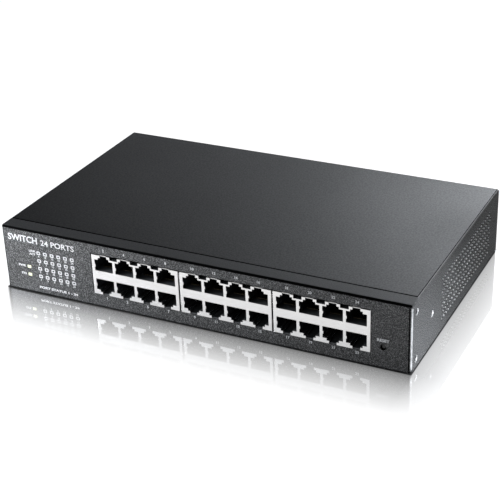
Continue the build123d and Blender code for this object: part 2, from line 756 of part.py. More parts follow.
def magnetics():
    """Isolation transformer modules behind each pair of ports."""
    modules = []
    for block_x in BLOCK_X:
        for x in port_columns(block_x):
            module = box_at(x, MAGNETIC_Y, BOARD_TOP, *MAGNETIC_SIZE)
            modules.append(chamfer(module.edges().filter_by(Axis.Z), MAGNETIC_CHAMFER))
    return modules


def chip(x, y, size, legs_per_side):
    """Square chip with gull-wing legs on its four sides."""
    body = box_at(x, y, BOARD_TOP + CHIP_LIFT, size, size, CHIP_T)
    body = chamfer(body.edges().filter_by(Axis.Z), CHIP_CHAMFER)
    legs = []
    pitch = size * LEG_ROW_SHARE / (legs_per_side - 1)
    width = pitch * LEG_SHARE
    for i in range(legs_per_side):
        shift = (i - (legs_per_side - 1) / 2) * pitch
        for side in (-1, 1):
            reach = side * (size / 2 + LEG_LENGTH / 4)
            legs.append(box_at(x + reach, y + shift, BOARD_TOP, LEG_LENGTH, width, LEG_T))
            legs.append(box_at(x + shift, y + reach, BOARD_TOP, width, LEG_LENGTH, LEG_T))
    return body.fuse(*legs)


def finned_sink(x, y, size, height, fins):
    """Extruded heat sink with upright fins, standing on a chip."""
    base_z = BOARD_TOP + CHIP_LIFT + CHIP_T
    base = box_at(x, y, base_z, size, size, SINK_BASE_T)
    root = SINK_BASE_T / 2
    pitch = (size - FIN_T) / (fins - 1)
    plates = []
    for i in range(fins):
        fin_x = x - (size - FIN_T) / 2 + pitch * i
        plates.append(box_at(fin_x, y, base_z + root, FIN_T, size, height - root))
    return base.fuse(*plates)


def small_outline_chips():
    """Eight-legged memory and supervisor chips."""
    pieces = []
    for x, y in SO_CHIPS:
        legs = []
        for i in range(4):
            shift = (i - 1.5) * SO_PITCH
            for side in (-1, 1):
                legs.append(box_at(x + side * SO_LEG_X, y + shift, BOARD_TOP, *SO_LEG, LEG_T))
        pieces.append(box_at(x, y, BOARD_TOP + CHIP_LIFT, *SO_SIZE).fuse(*legs))
    return pieces


def crystals():
    """Metal-can crystals beside the chips that they clock."""
    cans = []
    for x, y in CRYSTALS:
        can = box_at(x, y, BOARD_TOP, *CRYSTAL_SIZE)
        cans.append(fillet(can.edges().filter_by(Axis.Z), CRYSTAL_R))
    return cans


def can_capacitor(x, y, z, radius, height):
    """Upright can capacitor with a crimp groove and a rounded top."""
    can = post(x, y, z, radius, height)
    can = fillet(can.edges().sort_by(Axis.Z)[-1], radius * CAN_ROUND)
    groove = Pos(x, y, z + height * GROOVE_UP) * Torus(radius + GROOVE_OUT, GROOVE_R)
    return can - groove


def board_capacitors():
    """Small can capacitors along the rear edge of the main board."""
    places = [(x, SMALL_CAN_Y) for x in SMALL_CAN_X] + [ODD_CAN]
    return [can_capacitor(x, y, BOARD_TOP, SMALL_CAN_R, SMALL_CAN_H) for x, y in places]


def board_inductors():
    """Shielded power inductors of the board's step-down converters."""
    coils = []
    dish_z = BOARD_TOP + INDUCTOR_SIZE[2] - INDUCTOR_DISH
    for x, y in INDUCTORS:
        coil = box_at(x, y, BOARD_TOP, *INDUCTOR_SIZE)
        coil = fillet(coil.edges().filter_by(Axis.Z), INDUCTOR_CORNER_R)
        coils.append(coil - post(x, y, dish_z, INDUCTOR_DISH_R, 2 * INDUCTOR_DISH))
    return coils


def chip_resistors():
    """Rows of small surface parts between the magnetics and the chips."""
    pieces = []
    length, width, height = RESISTOR_SIZE
    for block_x in BLOCK_X:
        for i in range(RESISTOR_COLUMNS):
            x = block_x + (i - (RESISTOR_COLUMNS - 1) / 2) * RESISTOR_PITCH
            pieces.append(box_at(x, RESISTOR_FRONT_Y, BOARD_TOP, length, width, height))
            if abs(x - block_x) > PHY_SIZE / 2 + RESISTOR_KEEP_OUT:
                for y in RESISTOR_ROWS:
                    pieces.append(box_at(x, y, BOARD_TOP, width, length, height))
    return pieces


# ---- power supply ----
def insulation_sheet():
    """Folded insulating sheet between the power board and the case floor."""
    x0, y0, x1, y1 = POWER_BOARD
    x0 -= SHEET_MARGIN
    y0 -= SHEET_MARGIN
    x1 += SHEET_MARGIN
    y1 += SHEET_MARGIN
    bottom = SHEET + SHEET_GAP
    sheet = block(x0, y0, bottom, x1, y1, bottom + SHEET_T)
    wall = block(x0, y0, bottom, x0 + SHEET_T, y1, SHEET_WALL_TOP)
    holes = [post(x, y, 0, STANDOFF_R + SHEET_T, 2 * STANDOFF_R) for x, y in POWER_SCREWS]
    return (sheet + wall).cut(*holes)


def line_fuse():
    """Cartridge fuse lying in two clips."""
    x, y = FUSE
    z = BOARD_TOP + FUSE_UP
    tube_r, tube_length = FUSE_TUBE
    cap_r, cap_length = FUSE_CAP
    tube = rod_x(x - tube_length / 2, x + tube_length / 2, y, z, tube_r)
    ends = []
    for side in (-1, 1):
        cap_x = x + side * (FUSE_LENGTH - cap_length) / 2
        ends.append(rod_x(cap_x - cap_length / 2, cap_x + cap_length / 2, y, z, cap_r))
        ends.append(box_at(cap_x, y, BOARD_TOP, *FUSE_CLIP))
    return tube.fuse(*ends)


def x_capacitor():
    """Box film capacitor across the line."""
    body = box_at(*X_CAPACITOR, BOARD_TOP, *X_CAPACITOR_SIZE)
    return fillet(body.edges().filter_by(Axis.Z), X_CAPACITOR_R)


def choke_core():
    """Rectangular ferrite ring of the line choke."""
    ring = box_at(*CHOKE, BOARD_TOP + CHOKE_LIFT, *CHOKE_SIZE)
    limb = (CHOKE_SIZE[2] - CHOKE_WINDOW) / 2
    window = box_at(*CHOKE, BOARD_TOP + CHOKE_LIFT + limb, CHOKE_WINDOW, CHOKE_SIZE[1] + 1, CHOKE_WINDOW)
    return ring - window


def choke_windings():
    """Two copper windings, one round each upright limb of the ring."""
    x, y = CHOKE
    bottom = BOARD_TOP + CHOKE_LIFT + (CHOKE_SIZE[2] - COIL_SIZE[2]) / 2
    coils = []
    for side in (-1, 1):
        limb = x + side * (CHOKE_SIZE[0] + CHOKE_WINDOW) / 4
        coil = box_at(limb, y, bottom, *COIL_SIZE)
        coil = fillet(coil.edges().filter_by(Axis.Z), COIL_R)
        coils.append(coil - box_at(limb, y, bottom - 1, *COIL_BORE, COIL_SIZE[2] + 2))
    return coils


def rectifier_bridge():
    """Flat diode bridge standing on edge."""
    body = box_at(*BRIDGE, BOARD_TOP + BRIDGE_LIFT, *BRIDGE_SIZE)
    return body + box_at(*BRIDGE, BOARD_TOP, *BRIDGE_LEGS)


def bulk_capacitor():
    """Large mains reservoir capacitor."""
    return can_capacitor(*BULK_CAPACITOR, BOARD_TOP, BULK_CAPACITOR_R, BULK_CAPACITOR_H)


def transformer_core():
    """Ferrite shell core round the winding."""
    x, y = TRANSFORMER
    z = BOARD_TOP + TRANSFORMER_LIFT
    core = box_at(x, y, z, *CORE_SIZE)
    width, height = CORE_WINDOW
    limb = (CORE_SIZE[2] - height) / 2
    windows = []
    for side in (-1, 1):
        windows.append(box_at(x + side * CORE_WINDOW_X, y, z + limb, width, CORE_SIZE[1] + 1, height))
    return core.cut(*windows)


def transformer_winding():
    """Taped winding on its bobbin, round the middle limb."""
    x, y = TRANSFORMER
    bottom = BOARD_TOP + TRANSFORMER_LIFT + (CORE_SIZE[2] - WINDING_SIZE[2]) / 2
    coil = box_at(x, y, bottom, *WINDING_SIZE)
    coil = fillet(coil.edges().filter_by(Axis.Z), WINDING_R)
    coil = coil - box_at(x, y, bottom - 1, *WINDING_BORE, WINDING_SIZE[2] + 2)
    feet = []
    for side in (-1, 1):
        foot_y = y + side * BOBBIN_FOOT_Y
        feet.append(box_at(x, foot_y, BOARD_TOP, *BOBBIN_FOOT, bottom + WINDING_LIFT - BOARD_TOP))
    return coil.fuse(*feet)


def power_heat_sinks():
    """Two upright aluminium plates with bent-over tops."""
    sinks = []
    top = BOARD_TOP + POWER_SINK_H
    for x, y, length in POWER_SINKS:
        left = x - POWER_SINK_T / 2
        plate = box_at(x, y, BOARD_TOP, POWER_SINK_T, length, POWER_SINK_H)
        ends = (y - length / 2, y + length / 2)
        sinks.append(plate + block(left, ends[0], top - POWER_SINK_T, left + POWER_SINK_LIP, ends[1], top))
    return sinks


def power_transistors():
    """Transistor and diode packages clamped to the heat sinks."""
    packs = []
    thick, wide, high = PACK_SIZE
    tab_t, tab_h = PACK_TAB
    bottom = BOARD_TOP + PACK_LIFT
    for sink_x, y in POWER_PACKS:
        face = sink_x + POWER_SINK_T / 2
        x = face + thick / 2
        body = box_at(x, y, bottom, thick, wide, high)
        tab = box_at(face + tab_t / 2, y, bottom + high, tab_t, wide, tab_h)
        legs = []
        for i in (-1, 0, 1):
            legs.append(box_at(x, y + PACK_LEG_PITCH * i, BOARD_TOP, *PACK_LEG, PACK_LIFT + PACK_LEG[0]))
        packs.append((body + tab).fuse(*legs))
    return packs


def output_capacitors():
    """Can capacitors at the low-voltage end of the power board."""
    return [can_capacitor(OUTPUT_CAN_X, y, BOARD_TOP, OUTPUT_CAN_R, OUTPUT_CAN_H) for y in OUTPUT_CAN_Y]


def inlet_body():
    """Mains inlet moulding: flange behind the rear wall, nose through it and a deep cavity."""
    wall = REAR - SHEET
    sx, sz, t = INLET_FLANGE
    flange = round_plate_y(INLET_X, INLET_Z, sx, sz, INLET_FLANGE_R, wall - t, wall)
    nose_size = (INLET_CUT[0] - INLET_FIT, INLET_CUT[1] - INLET_FIT)
    nose = block_around(INLET_X, INLET_Z, nose_size, INLET_BODY_BACK, REAR)
    cavity = block_around(INLET_X, INLET_Z, INLET_CAVITY, REAR - INLET_CAVITY_DEPTH, REAR + 1)
    lower = cavity.edges().filter_by(Axis.Y).sort_by(Axis.Z)[:2]
    cavity = chamfer(lower, INLET_KEY_CHAMFER)
    cuts = [cavity]
    for side in (-1, 1):
        x = INLET_X + side * INLET_SCREW_SPAN / 2
        cuts.append(rod_y(wall - t - 1, wall + 1, x, INLET_Z, SCREW_HOLE_R))
    slot = (PIN_SIZE[0] + PIN_FIT, PIN_SIZE[1] + PIN_FIT)
    for x, z in pin_places():
        cuts.append(block_around(x, z, slot, INLET_BODY_BACK - 1, PIN_SLOT_END))
    return (flange + nose).cut(*cuts)


def pin_places():
    """X and Z of the live, neutral and earth pins."""
    low = INLET_Z - PIN_DROP
    return (
        (INLET_X - PIN_SPAN / 2, low),
        (INLET_X + PIN_SPAN / 2, low),
        (INLET_X, low + PIN_EARTH_UP),
    )


def inlet_pins():
    """Three flat pins with solder tabs behind the moulding."""
    pins = []
    for x, z in pin_places():
        pin = block_around(x, z, PIN_SIZE, INLET_BODY_BACK - PIN_ROOT, PIN_TIP)
        pin = chamfer(pin.faces().sort_by(Axis.Y)[-1].edges(), PIN_CHAMFER)
        tab = block_around(x, z, TAB_SIZE, TAB_END, INLET_BODY_BACK)
        pins.append(pin + tab)
    return pins


def inlet_screws():
    """Screws through the rear wall into the inlet flange."""
    places = [INLET_X + side * INLET_SCREW_SPAN / 2 for side in (-1, 1)]
    return [pan_screw_y(x, INLET_Z, REAR, INLET_SCREW_LENGTH) for x in places]


def earth_screw():
    """Earth bonding screw with a wide head on the rear wall."""
    return pan_screw_y(*EARTH_SCREW, REAR, EARTH_SCREW_LENGTH, EARTH_HEAD_R)


def wire(points, radius, bend):
    """Round wire along straight runs joined by arcs."""
    path = FilletPolyline(*points, radius=bend)
    start = Plane(path @ 0, z_dir=path % 0)
    return sweep(start * Circle(radius), path=path)


def earth_nut():
    """Hexagon nut that clamps the earth lug on the inside."""
    x, z = EARTH_SCREW
    face = REAR - SHEET - EARTH_PAD_T - LUG_T
    plane = Plane((x, face, z), x_dir=(1, 0, 0), z_dir=(0, -1, 0))
    nut = extrude(plane * RegularPolygon(EARTH_NUT_R, 6), amount=EARTH_NUT_T)
    return nut - rod_y(face - EARTH_NUT_T - 1, face + 1, x, z, SCREW_HOLE_R)


def wire_receptacles():
    """Insulated push-on sleeves over the inlet tabs."""
    sleeves = []
    end = SLEEVE_FRONT + SLEEVE_LENGTH
    for x, z in pin_places():
        sleeve = block_around(x, z, SLEEVE_SIZE, SLEEVE_FRONT, end)
        sleeve = fillet(sleeve.edges().filter_by(Axis.Y), SLEEVE_R)
        sleeves.append(sleeve - block_around(x, z, SLEEVE_BORE, TAB_END - SLEEVE_STOP, end + 1))
    return sleeves


def ac_terminal():
    """Two-way terminal where the mains wires meet the power board."""
    return box_at(*AC_TERMINAL, BOARD_TOP, *AC_TERMINAL_SIZE)


def ac_wires():
    """Live and neutral wires from the inlet sleeves down to the terminal."""
    x, y = AC_TERMINAL
    top = BOARD_TOP + AC_TERMINAL_SIZE[2]
    wires = []
    for (pin_x, z), end_x in zip(pin_places()[:2], (x - AC_WAY, x + AC_WAY)):
        points = [(pin_x, SLEEVE_FRONT, z), (pin_x, y, z), (end_x, y, z), (end_x, y, top)]
        wires.append(wire(points, MAINS_WIRE_R, MAINS_BEND))
    return wires


def earth_wire():
    """Earth wire from the inlet's earth tab to the bonding screw."""
    x, z = pin_places()[2]
    screw_x, screw_z = EARTH_SCREW
    pad = REAR - SHEET - EARTH_PAD_T
    dip = SLEEVE_FRONT - EARTH_DIP
    run = pad - EARTH_RUN
    barrel_z = screw_z + BARREL_UP
    points = [
        (x, SLEEVE_FRONT, z),
        (x, dip, z),
        (x, dip, z + EARTH_RISE),
        (screw_x + EARTH_RUN, run, z + EARTH_RISE),
        (screw_x, run, barrel_z),
        (screw_x, pad - BARREL_GAP, barrel_z),
    ]
    lug = rod_y(pad - LUG_T, pad, screw_x, screw_z, LUG_R)
    lug = lug - rod_y(pad - LUG_T - 1, pad + 1, screw_x, screw_z, LUG_BORE_R)
    barrel = rod_y(pad - BARREL_LENGTH, pad, screw_x, barrel_z, BARREL_R)
    half = LUG_STRAP_W / 2
    strap = block(screw_x - half, pad - LUG_T, barrel_z - BARREL_R - LUG_T, screw_x + half, pad, barrel_z)
    return wire(points, MAINS_WIRE_R, EARTH_BEND) + lug + barrel + strap


def dc_headers():
    """Four-way headers on the power board and on the main board."""
    return [box_at(DC_HEADER_X, y, BOARD_TOP, *DC_HEADER_SIZE) for y in DC_HEADER_Y]


def dc_harness():
    """Low-voltage wires from the power board to the main board."""
    wires = []
    rear, front = DC_HEADER_Y
    top = BOARD_TOP + DC_HEADER_SIZE[2]
    arch = top + DC_ARCH
    for i in range(DC_WIRES):
        x = DC_HEADER_X + (i - (DC_WIRES - 1) / 2) * DC_WIRE_PITCH
        points = [(x, rear, top), (x, rear, arch), (x, front, arch), (x, front, top)]
        wires.append(wire(points, DC_WIRE_R, DC_BEND))
    return wires


def main():
    os.makedirs("parts", exist_ok=True)
    save("chassis_base", chassis_base())
    save("top_cover", top_cover())
    save("front_panel", front_panel())
    save_group("cover_screws", cover_screws())
    for number, block_x in enumerate(BLOCK_X, 1):
        save(f"jack_shield_{number}", jack_shield(block_x))
        save(f"jack_housing_{number}", jack_housing(block_x))
        save_group(f"jack_contacts_{number}", jack_contacts(block_x))
    save("light_pipes", light_pipes())
    save("led_board", led_board())
    save_group("status_leds", status_leds())
    save("reset_switch", reset_switch())
    save("reset_button", reset_button())
    save("main_board", board(MAIN_BOARD, MAIN_SCREWS))
    save_group("main_board_standoffs", standoffs(MAIN_SCREWS))
    save_group("main_board_screws", board_screws(MAIN_SCREWS))
    save_group("magnetics", magnetics())
    save_group("phy_chips", [chip(x, PHY_Y, PHY_SIZE, PHY_LEGS) for x in BLOCK_X])
    save_group("phy_heat_sinks", [finned_sink(x, PHY_Y, *PHY_SINK) for x in BLOCK_X])
    save("switch_chip", chip(*SWITCH_CHIP, SWITCH_SIZE, SWITCH_LEGS))
    save("switch_heat_sink", finned_sink(*SWITCH_CHIP, *SWITCH_SINK))
    save_group("small_outline_chips", small_outline_chips())
    save_group("crystals", crystals())
    save_group("board_capacitors", board_capacitors())
    save_group("board_inductors", board_inductors())
    save_group("chip_resistors", chip_resistors())
    save("power_board", board(POWER_BOARD, POWER_SCREWS))
    save_group("power_board_standoffs", standoffs(POWER_SCREWS))
    save_group("power_board_screws", board_screws(POWER_SCREWS))
    save("insulation_sheet", insulation_sheet())
    save("line_fuse", line_fuse())
    save("x_capacitor", x_capacitor())
    save("choke_core", choke_core())
    save_group("choke_windings", choke_windings())
    save("rectifier_bridge", rectifier_bridge())
    save("bulk_capacitor", bulk_capacitor())
    save("transformer_core", transformer_core())
    save("transformer_winding", transformer_winding())
    save_group("power_heat_sinks", power_heat_sinks())
    save_group("power_transistors", power_transistors())
    save_group("output_capacitors", output_capacitors())
    save("inlet_body", inlet_body())
    save_group("inlet_pins", inlet_pins())
    save_group("inlet_screws", inlet_screws())
    save("earth_screw", earth_screw())
    save("earth_nut", earth_nut())
    save_group("wire_receptacles", wire_receptacles())
    save("ac_terminal", ac_terminal())
    save_group("ac_wires", ac_wires())
    save("earth_wire", earth_wire())
    save_group("dc_headers", dc_headers())
    save_group("dc_harness", dc_harness())


main()
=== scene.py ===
import json
import math

import bmesh
import bpy
from mathutils import Matrix, Vector


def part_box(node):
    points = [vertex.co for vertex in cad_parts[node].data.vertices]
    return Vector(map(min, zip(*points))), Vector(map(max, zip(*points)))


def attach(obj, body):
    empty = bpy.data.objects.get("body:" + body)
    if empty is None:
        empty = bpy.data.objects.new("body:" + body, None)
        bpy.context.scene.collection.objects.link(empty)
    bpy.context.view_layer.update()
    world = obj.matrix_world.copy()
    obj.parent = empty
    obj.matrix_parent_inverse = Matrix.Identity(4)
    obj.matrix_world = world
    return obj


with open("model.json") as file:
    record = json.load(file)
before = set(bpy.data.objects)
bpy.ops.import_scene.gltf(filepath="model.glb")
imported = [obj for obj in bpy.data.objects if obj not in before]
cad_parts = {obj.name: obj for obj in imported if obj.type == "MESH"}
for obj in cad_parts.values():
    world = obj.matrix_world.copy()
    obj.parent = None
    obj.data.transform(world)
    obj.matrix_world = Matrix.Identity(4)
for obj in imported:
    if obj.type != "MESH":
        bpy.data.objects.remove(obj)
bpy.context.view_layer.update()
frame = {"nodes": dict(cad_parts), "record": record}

MM = 0.001
nodes = frame["nodes"]


def corners(node):
    """Lowest and highest corner of a CAD node, in mm."""
    return [[round(value / MM, 3) for value in corner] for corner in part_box(node)]


# ---------------------------------------------------------------- the case, in mm
HALF_WIDTH, HALF_DEPTH, HEIGHT = corners("chassis_base")[1]
SHEET = 1.0
panel_low, panel_high = corners("front_panel")
FRONT = panel_low[1]
PANEL_HALF = panel_high[0]
PANEL_TOP = panel_high[2]
lid_low, lid_high = corners("top_cover")
LID_HALF = lid_high[0]
LID_TAB_REACH = 5.0
LID_FRONT = lid_low[1] + LID_TAB_REACH

# the studio: the tint of its lights and the glow of its floor and backdrop
COOL = (0.965, 1.0, 1.055)
STUDIO_GLOW = 0.98


# ---------------------------------------------------------------- shader helpers
def new_material(name):
    """A node material with its Principled shader and object coordinates."""
    material = bpy.data.materials.new(name)
    material.use_nodes = True
    tree = material.node_tree
    shader = tree.nodes["Principled BSDF"]
    coords = tree.nodes.new("ShaderNodeTexCoord").outputs["Object"]
    return material, tree, shader, coords


def grey(value, warm=0.0):
    """A grey, a little warmer or cooler if asked."""
    return (value * (1 + warm), value, value * (1 - warm))


def dimmed(colour, share):
    """A colour at a share of its brightness."""
    return tuple(channel * share for channel in colour)


def noise(tree, coords, scale, detail, roughness=0.55, stretch=None):
    """Noise value at a scale in cells per metre, stretched if asked."""
    if stretch:
        mapping = tree.nodes.new("ShaderNodeMapping")
        mapping.inputs["Scale"].default_value = stretch
        tree.links.new(coords, mapping.inputs["Vector"])
        coords = mapping.outputs["Vector"]
    node = tree.nodes.new("ShaderNodeTexNoise")
    node.inputs["Scale"].default_value = scale
    node.inputs["Detail"].default_value = detail
    node.inputs["Roughness"].default_value = roughness
    tree.links.new(coords, node.inputs["Vector"])
    return node.outputs["Fac"]


def voronoi(tree, coords, scale):
    """Distance to the nearest cell centre."""
    node = tree.nodes.new("ShaderNodeTexVoronoi")
    node.inputs["Scale"].default_value = scale
    tree.links.new(coords, node.inputs["Vector"])
    return node.outputs["Distance"]


def colour_ramp(tree, value, low, high, start=0.3, end=0.7):
    """A colour that runs from low to high as a value goes from start to end."""
    node = tree.nodes.new("ShaderNodeValToRGB")
    for element, position, colour in zip(node.color_ramp.elements, (start, end), (low, high)):
        element.position = position
        element.color = (*colour, 1.0)
    tree.links.new(value, node.inputs["Fac"])
    return node.outputs["Color"]


def value_ramp(tree, value, low, high, start=0.3, end=0.7):
    """A number that runs from low to high as a value goes from start to end."""
    node = tree.nodes.new("ShaderNodeMapRange")
    node.inputs["From Min"].default_value = start
    node.inputs["From Max"].default_value = end
    node.inputs["To Min"].default_value = low
    node.inputs["To Max"].default_value = high
    tree.links.new(value, node.inputs["Value"])
    return node.outputs["Result"]


def math_node(tree, operation, a, b=0.0):
    """Math on two sockets, or a socket and a number."""
    node = tree.nodes.new("ShaderNodeMath")
    node.operation = operation
    for socket, item in zip(node.inputs, (a, b)):
        if isinstance(item, (int, float)):
            socket.default_value = item
        else:
            tree.links.new(item, socket)
    return node.outputs["Value"]


def product(tree, *factors):
    """Sockets and numbers multiplied together."""
    result = factors[0]
    for factor in factors[1:]:
        result = math_node(tree, "MULTIPLY", result, factor)
    return result


def mix_colour(tree, factor, a, b):
    """Colour mix between two sockets or colours."""
    node = tree.nodes.new("ShaderNodeMix")
    node.data_type = "RGBA"
    tree.links.new(factor, node.inputs[0])
    for socket, item in ((node.inputs[6], a), (node.inputs[7], b)):
        if isinstance(item, tuple):
            socket.default_value = (*item, 1.0)
        else:
            tree.links.new(item, socket)
    return node.outputs[2]


def bump(tree, shader, height, strength, distance):
    """Bump from a height value, distance in mm."""
    node = tree.nodes.new("ShaderNodeBump")
    node.inputs["Strength"].default_value = strength
    node.inputs["Distance"].default_value = distance * MM
    tree.links.new(height, node.inputs["Height"])
    tree.links.new(node.outputs["Normal"], shader.inputs["Normal"])


# ---------------------------------------------------------------- masks by place and direction
def axis_value(tree, vector, axis):
    """One component of a vector socket."""
    split = tree.nodes.new("ShaderNodeSeparateXYZ")
    tree.links.new(vector, split.inputs[0])
    return split.outputs[axis]


def axis_size(tree, vector, axis):
    """One component of a vector socket, without its sign."""
    return math_node(tree, "ABSOLUTE", axis_value(tree, vector, axis))


def along(tree, coords, axis, start, end, low=0.0, high=1.0):
    """A share that runs from low to high between two places on an axis, in mm."""
    return value_ramp(tree, axis_value(tree, coords, axis), low, high, start * MM, end * MM)


def off_middle(tree, coords, start, end, low=0.0, high=1.0):
    """A share that runs from low to high between two distances from the middle, to either side, in mm."""
    return value_ramp(tree, axis_size(tree, coords, "X"), low, high, start * MM, end * MM)


def bend_mask(tree):
    """1 where the surface turns away from all three axes: bends, rims and the walls of round holes."""
    normal = tree.nodes.new("ShaderNodeNewGeometry").outputs["True Normal"]
    x, y, z = [axis_size(tree, normal, axis) for axis in "XYZ"]
    flattest = math_node(tree, "MAXIMUM", math_node(tree, "MAXIMUM", x, y), z)
    return value_ramp(tree, flattest, 1.0, 0.0, 0.84, 0.97)


def upright_mask(tree, level_share):
    """1 on walls, and a smaller share on level faces."""
    normal = tree.nodes.new("ShaderNodeNewGeometry").outputs["True Normal"]
    return value_ramp(tree, axis_size(tree, normal, "Z"), 1.0, level_share, 0.3, 0.9)


def clear_of_floor(tree, coords):
    """0 on the lowest millimetre of the walls, painted dark as shade, and 1 elsewhere."""
    raised = along(tree, coords, "Z", 0.8, 1.2)
    level = math_node(tree, "SUBTRACT", 1.0, upright_mask(tree, 0.0))
    return math_node(tree, "MAXIMUM", raised, level)


def clear_of_lid_seam(tree, coords):
    """0 along the lid's front and side edges, which lie in the shade of the seam, and 1 elsewhere."""
    behind_seam = along(tree, coords, "Y", LID_FRONT + 0.28, LID_FRONT + 0.40)
    inside_seams = off_middle(tree, coords, LID_HALF - 0.2, LID_HALF - 0.1, 1.0, 0.0)
    return product(tree, behind_seam, inside_seams)


def clear_of_top_bend(tree, coords):
    """0 on the front of the bend above the face plate, which is painted dark as shade, and 1 elsewhere."""
    behind = along(tree, coords, "Y", FRONT + 1.2, FRONT + 1.5)
    below = along(tree, coords, "Z", HEIGHT - 1.3, HEIGHT - 1.1, 1.0, 0.0)
    return math_node(tree, "MAXIMUM", behind, below)


def clear_of_plate_rim(tree, coords):
    """0 on the face plate's top and side rims, which are painted dark as shade, and 1 elsewhere."""
    below_rim = along(tree, coords, "Z", PANEL_TOP - 0.3, PANEL_TOP - 0.1, 1.0, 0.0)
    inside_rims = off_middle(tree, coords, PANEL_HALF - 0.6, PANEL_HALF - 0.3, 1.0, 0.0)
    return product(tree, below_rim, inside_rims)


def side_ledge(tree, coords):
    """1 on the top ledges of the side walls beside the lid, and 0 elsewhere."""
    inner_face = HALF_WIDTH - SHEET
    on_wall = off_middle(tree, coords, inner_face - 0.1, inner_face + 0.1)
    on_top = along(tree, coords, "Z", HEIGHT - 0.3, HEIGHT - 0.1)
    beside_lid = along(tree, coords, "Y", LID_FRONT - 1.6, LID_FRONT - 0.6)
    return product(tree, on_wall, on_top, beside_lid)


def rubbed_bends(tree, coords):
    """How far the paint is worn to bare metal, lightened also as a painted highlight: in patches on the
    upright bends, and evenly on the side ledges as a painted highlight.
    """
    patches = value_ramp(tree, noise(tree, coords, scale=420.0, detail=4.0), 0.55, 1.0, 0.4, 0.6)
    below_top = along(tree, coords, "Z", HEIGHT - 2.5, HEIGHT - 1.5, 1.0, 0.12)
    above_foot = along(tree, coords, "Z", 2.0, 3.0)
    behind_front = along(tree, coords, "Y", FRONT + 3.0, FRONT + 5.0, 0.60, 1.0)
    bends = product(tree, bend_mask(tree), patches, below_top, above_foot, behind_front)
    # the side ledges are lightened evenly as a painted highlight
    return math_node(tree, "MAXIMUM", bends, product(tree, side_ledge(tree, coords), 0.45))


# ---------------------------------------------------------------- kinds of material
def powder_coat(name, dark, light, speck, grain, rough, shade, strength=0.12, edge=0.16,
                wall_specular=0.5, shimmer=0.08, shaded_foot_specks=1.0):
    """Fine-textured dark paint: mottle, tiny pale specks, grain bump, uneven shine, bends worn bare and
    lightened also as a painted highlight, painted shade at the foot and in the given seams and rims, and,
    where asked, fewer specks low down as painted shade.
    """
    material, tree, shader, coords = new_material(name)
    mottle = noise(tree, coords, scale=14.0, detail=3.0)
    grains = noise(tree, coords, scale=grain, detail=2.0, roughness=0.5)
    # fewer pale specks towards the bottom where the share given for the foot is under 1: painted shade
    specks = product(tree, value_ramp(tree, grains, 0.0, 1.0, 0.50, 0.68), upright_mask(tree, 0.25),
                     along(tree, coords, "Z", 0.0, 30.0, shaded_foot_specks, 1.0))
    coloured = mix_colour(tree, specks, colour_ramp(tree, mottle, dark, light, 0.35, 0.65), speck)
    # bends worn bare and lightened also as a painted highlight
    rubbed_and_highlit = mix_colour(tree, rubbed_bends(tree, coords), coloured, grey(edge))
    # painted shade: near-black colour and no shine at the foot of the walls and on the seams and rims that
    # shade marks
    unshaded = product(tree, clear_of_floor(tree, coords), shade(tree, coords))
    tree.links.new(mix_colour(tree, unshaded, grey(0.003), rubbed_and_highlit), shader.inputs["Base Color"])
    tree.links.new(value_ramp(tree, mottle, *rough), shader.inputs["Roughness"])
    shine = value_ramp(tree, upright_mask(tree, 0.0), 0.5, wall_specular, 0.0, 1.0)
    patches = noise(tree, coords, scale=950.0, detail=1.0)
    uneven = value_ramp(tree, patches, 1 - shimmer, 1 + shimmer, 0.38, 0.62)
    tree.links.new(product(tree, shine, uneven, unshaded), shader.inputs["Specular IOR Level"])
    bump(tree, shader, grains, strength=strength, distance=0.05)
    return material


def plain_metal(name, low, high, rough, grain, stretch=None, strength=0.12, shaded_depth=None):
    """Bare or plated metal with a fine grain and smudges; where asked, painted darker inwards between two
    distances from the middle, as shade deep in a hole.
    """
    material, tree, shader, coords = new_material(name)
    lines = noise(tree, coords, scale=grain, detail=5.0, roughness=0.6, stretch=stretch)
    smudge = noise(tree, coords, scale=90.0, detail=3.0)
    colour = colour_ramp(tree, lines, low, high)
    # painted shade: the colour darkens deeper inside the hole
    if shaded_depth:
        colour = mix_colour(tree, off_middle(tree, coords, *shaded_depth), grey(0.008), colour)
    tree.links.new(colour, shader.inputs["Base Color"])
    tree.links.new(value_ramp(tree, smudge, rough - 0.075, rough + 0.075), shader.inputs["Roughness"])
    shader.inputs["Metallic"].default_value = 1.0
    bump(tree, shader, lines, strength=strength, distance=0.03)
    return material


def moulded(name, low, high, rough=(0.35, 0.55), grain=1800.0, strength=0.2):
    """Moulded plastic with spark-eroded grain and slight colour drift."""
    material, tree, shader, coords = new_material(name)
    drift = noise(tree, coords, scale=60.0, detail=4.0)
    grains = noise(tree, coords, scale=grain, detail=3.0)
    tree.links.new(colour_ramp(tree, drift, low, high), shader.inputs["Base Color"])
    tree.links.new(value_ramp(tree, grains, *rough), shader.inputs["Roughness"])
    bump(tree, shader, grains, strength=strength, distance=0.04)
    return material


def circuit_board(name, mask, track, scale):
    """Solder mask over copper: fine straight tracks, vias and a faint laminate weave."""
    material, tree, shader, coords = new_material(name)
    bricks = tree.nodes.new("ShaderNodeTexBrick")
    bricks.inputs["Scale"].default_value = scale
    bricks.inputs["Mortar Size"].default_value = 0.035
    bricks.inputs["Brick Width"].default_value = 1.7
    bricks.inputs["Row Height"].default_value = 0.22
    for socket, colour in (("Color1", mask), ("Color2", dimmed(mask, 0.8)), ("Mortar", track)):
        bricks.inputs[socket].default_value = (*colour, 1)
    tree.links.new(coords, bricks.inputs["Vector"])
    vias = value_ramp(tree, voronoi(tree, coords, 320.0), 1.0, 0.0, 0.10, 0.14)
    copper = mix_colour(tree, vias, bricks.outputs["Color"], (0.55, 0.42, 0.16))
    tree.links.new(copper, shader.inputs["Base Color"])
    weave = noise(tree, coords, scale=900.0, detail=2.0)
    tree.links.new(value_ramp(tree, weave, 0.22, 0.38), shader.inputs["Roughness"])
    bump(tree, shader, bricks.outputs["Fac"], strength=0.25, distance=0.03)
    return material


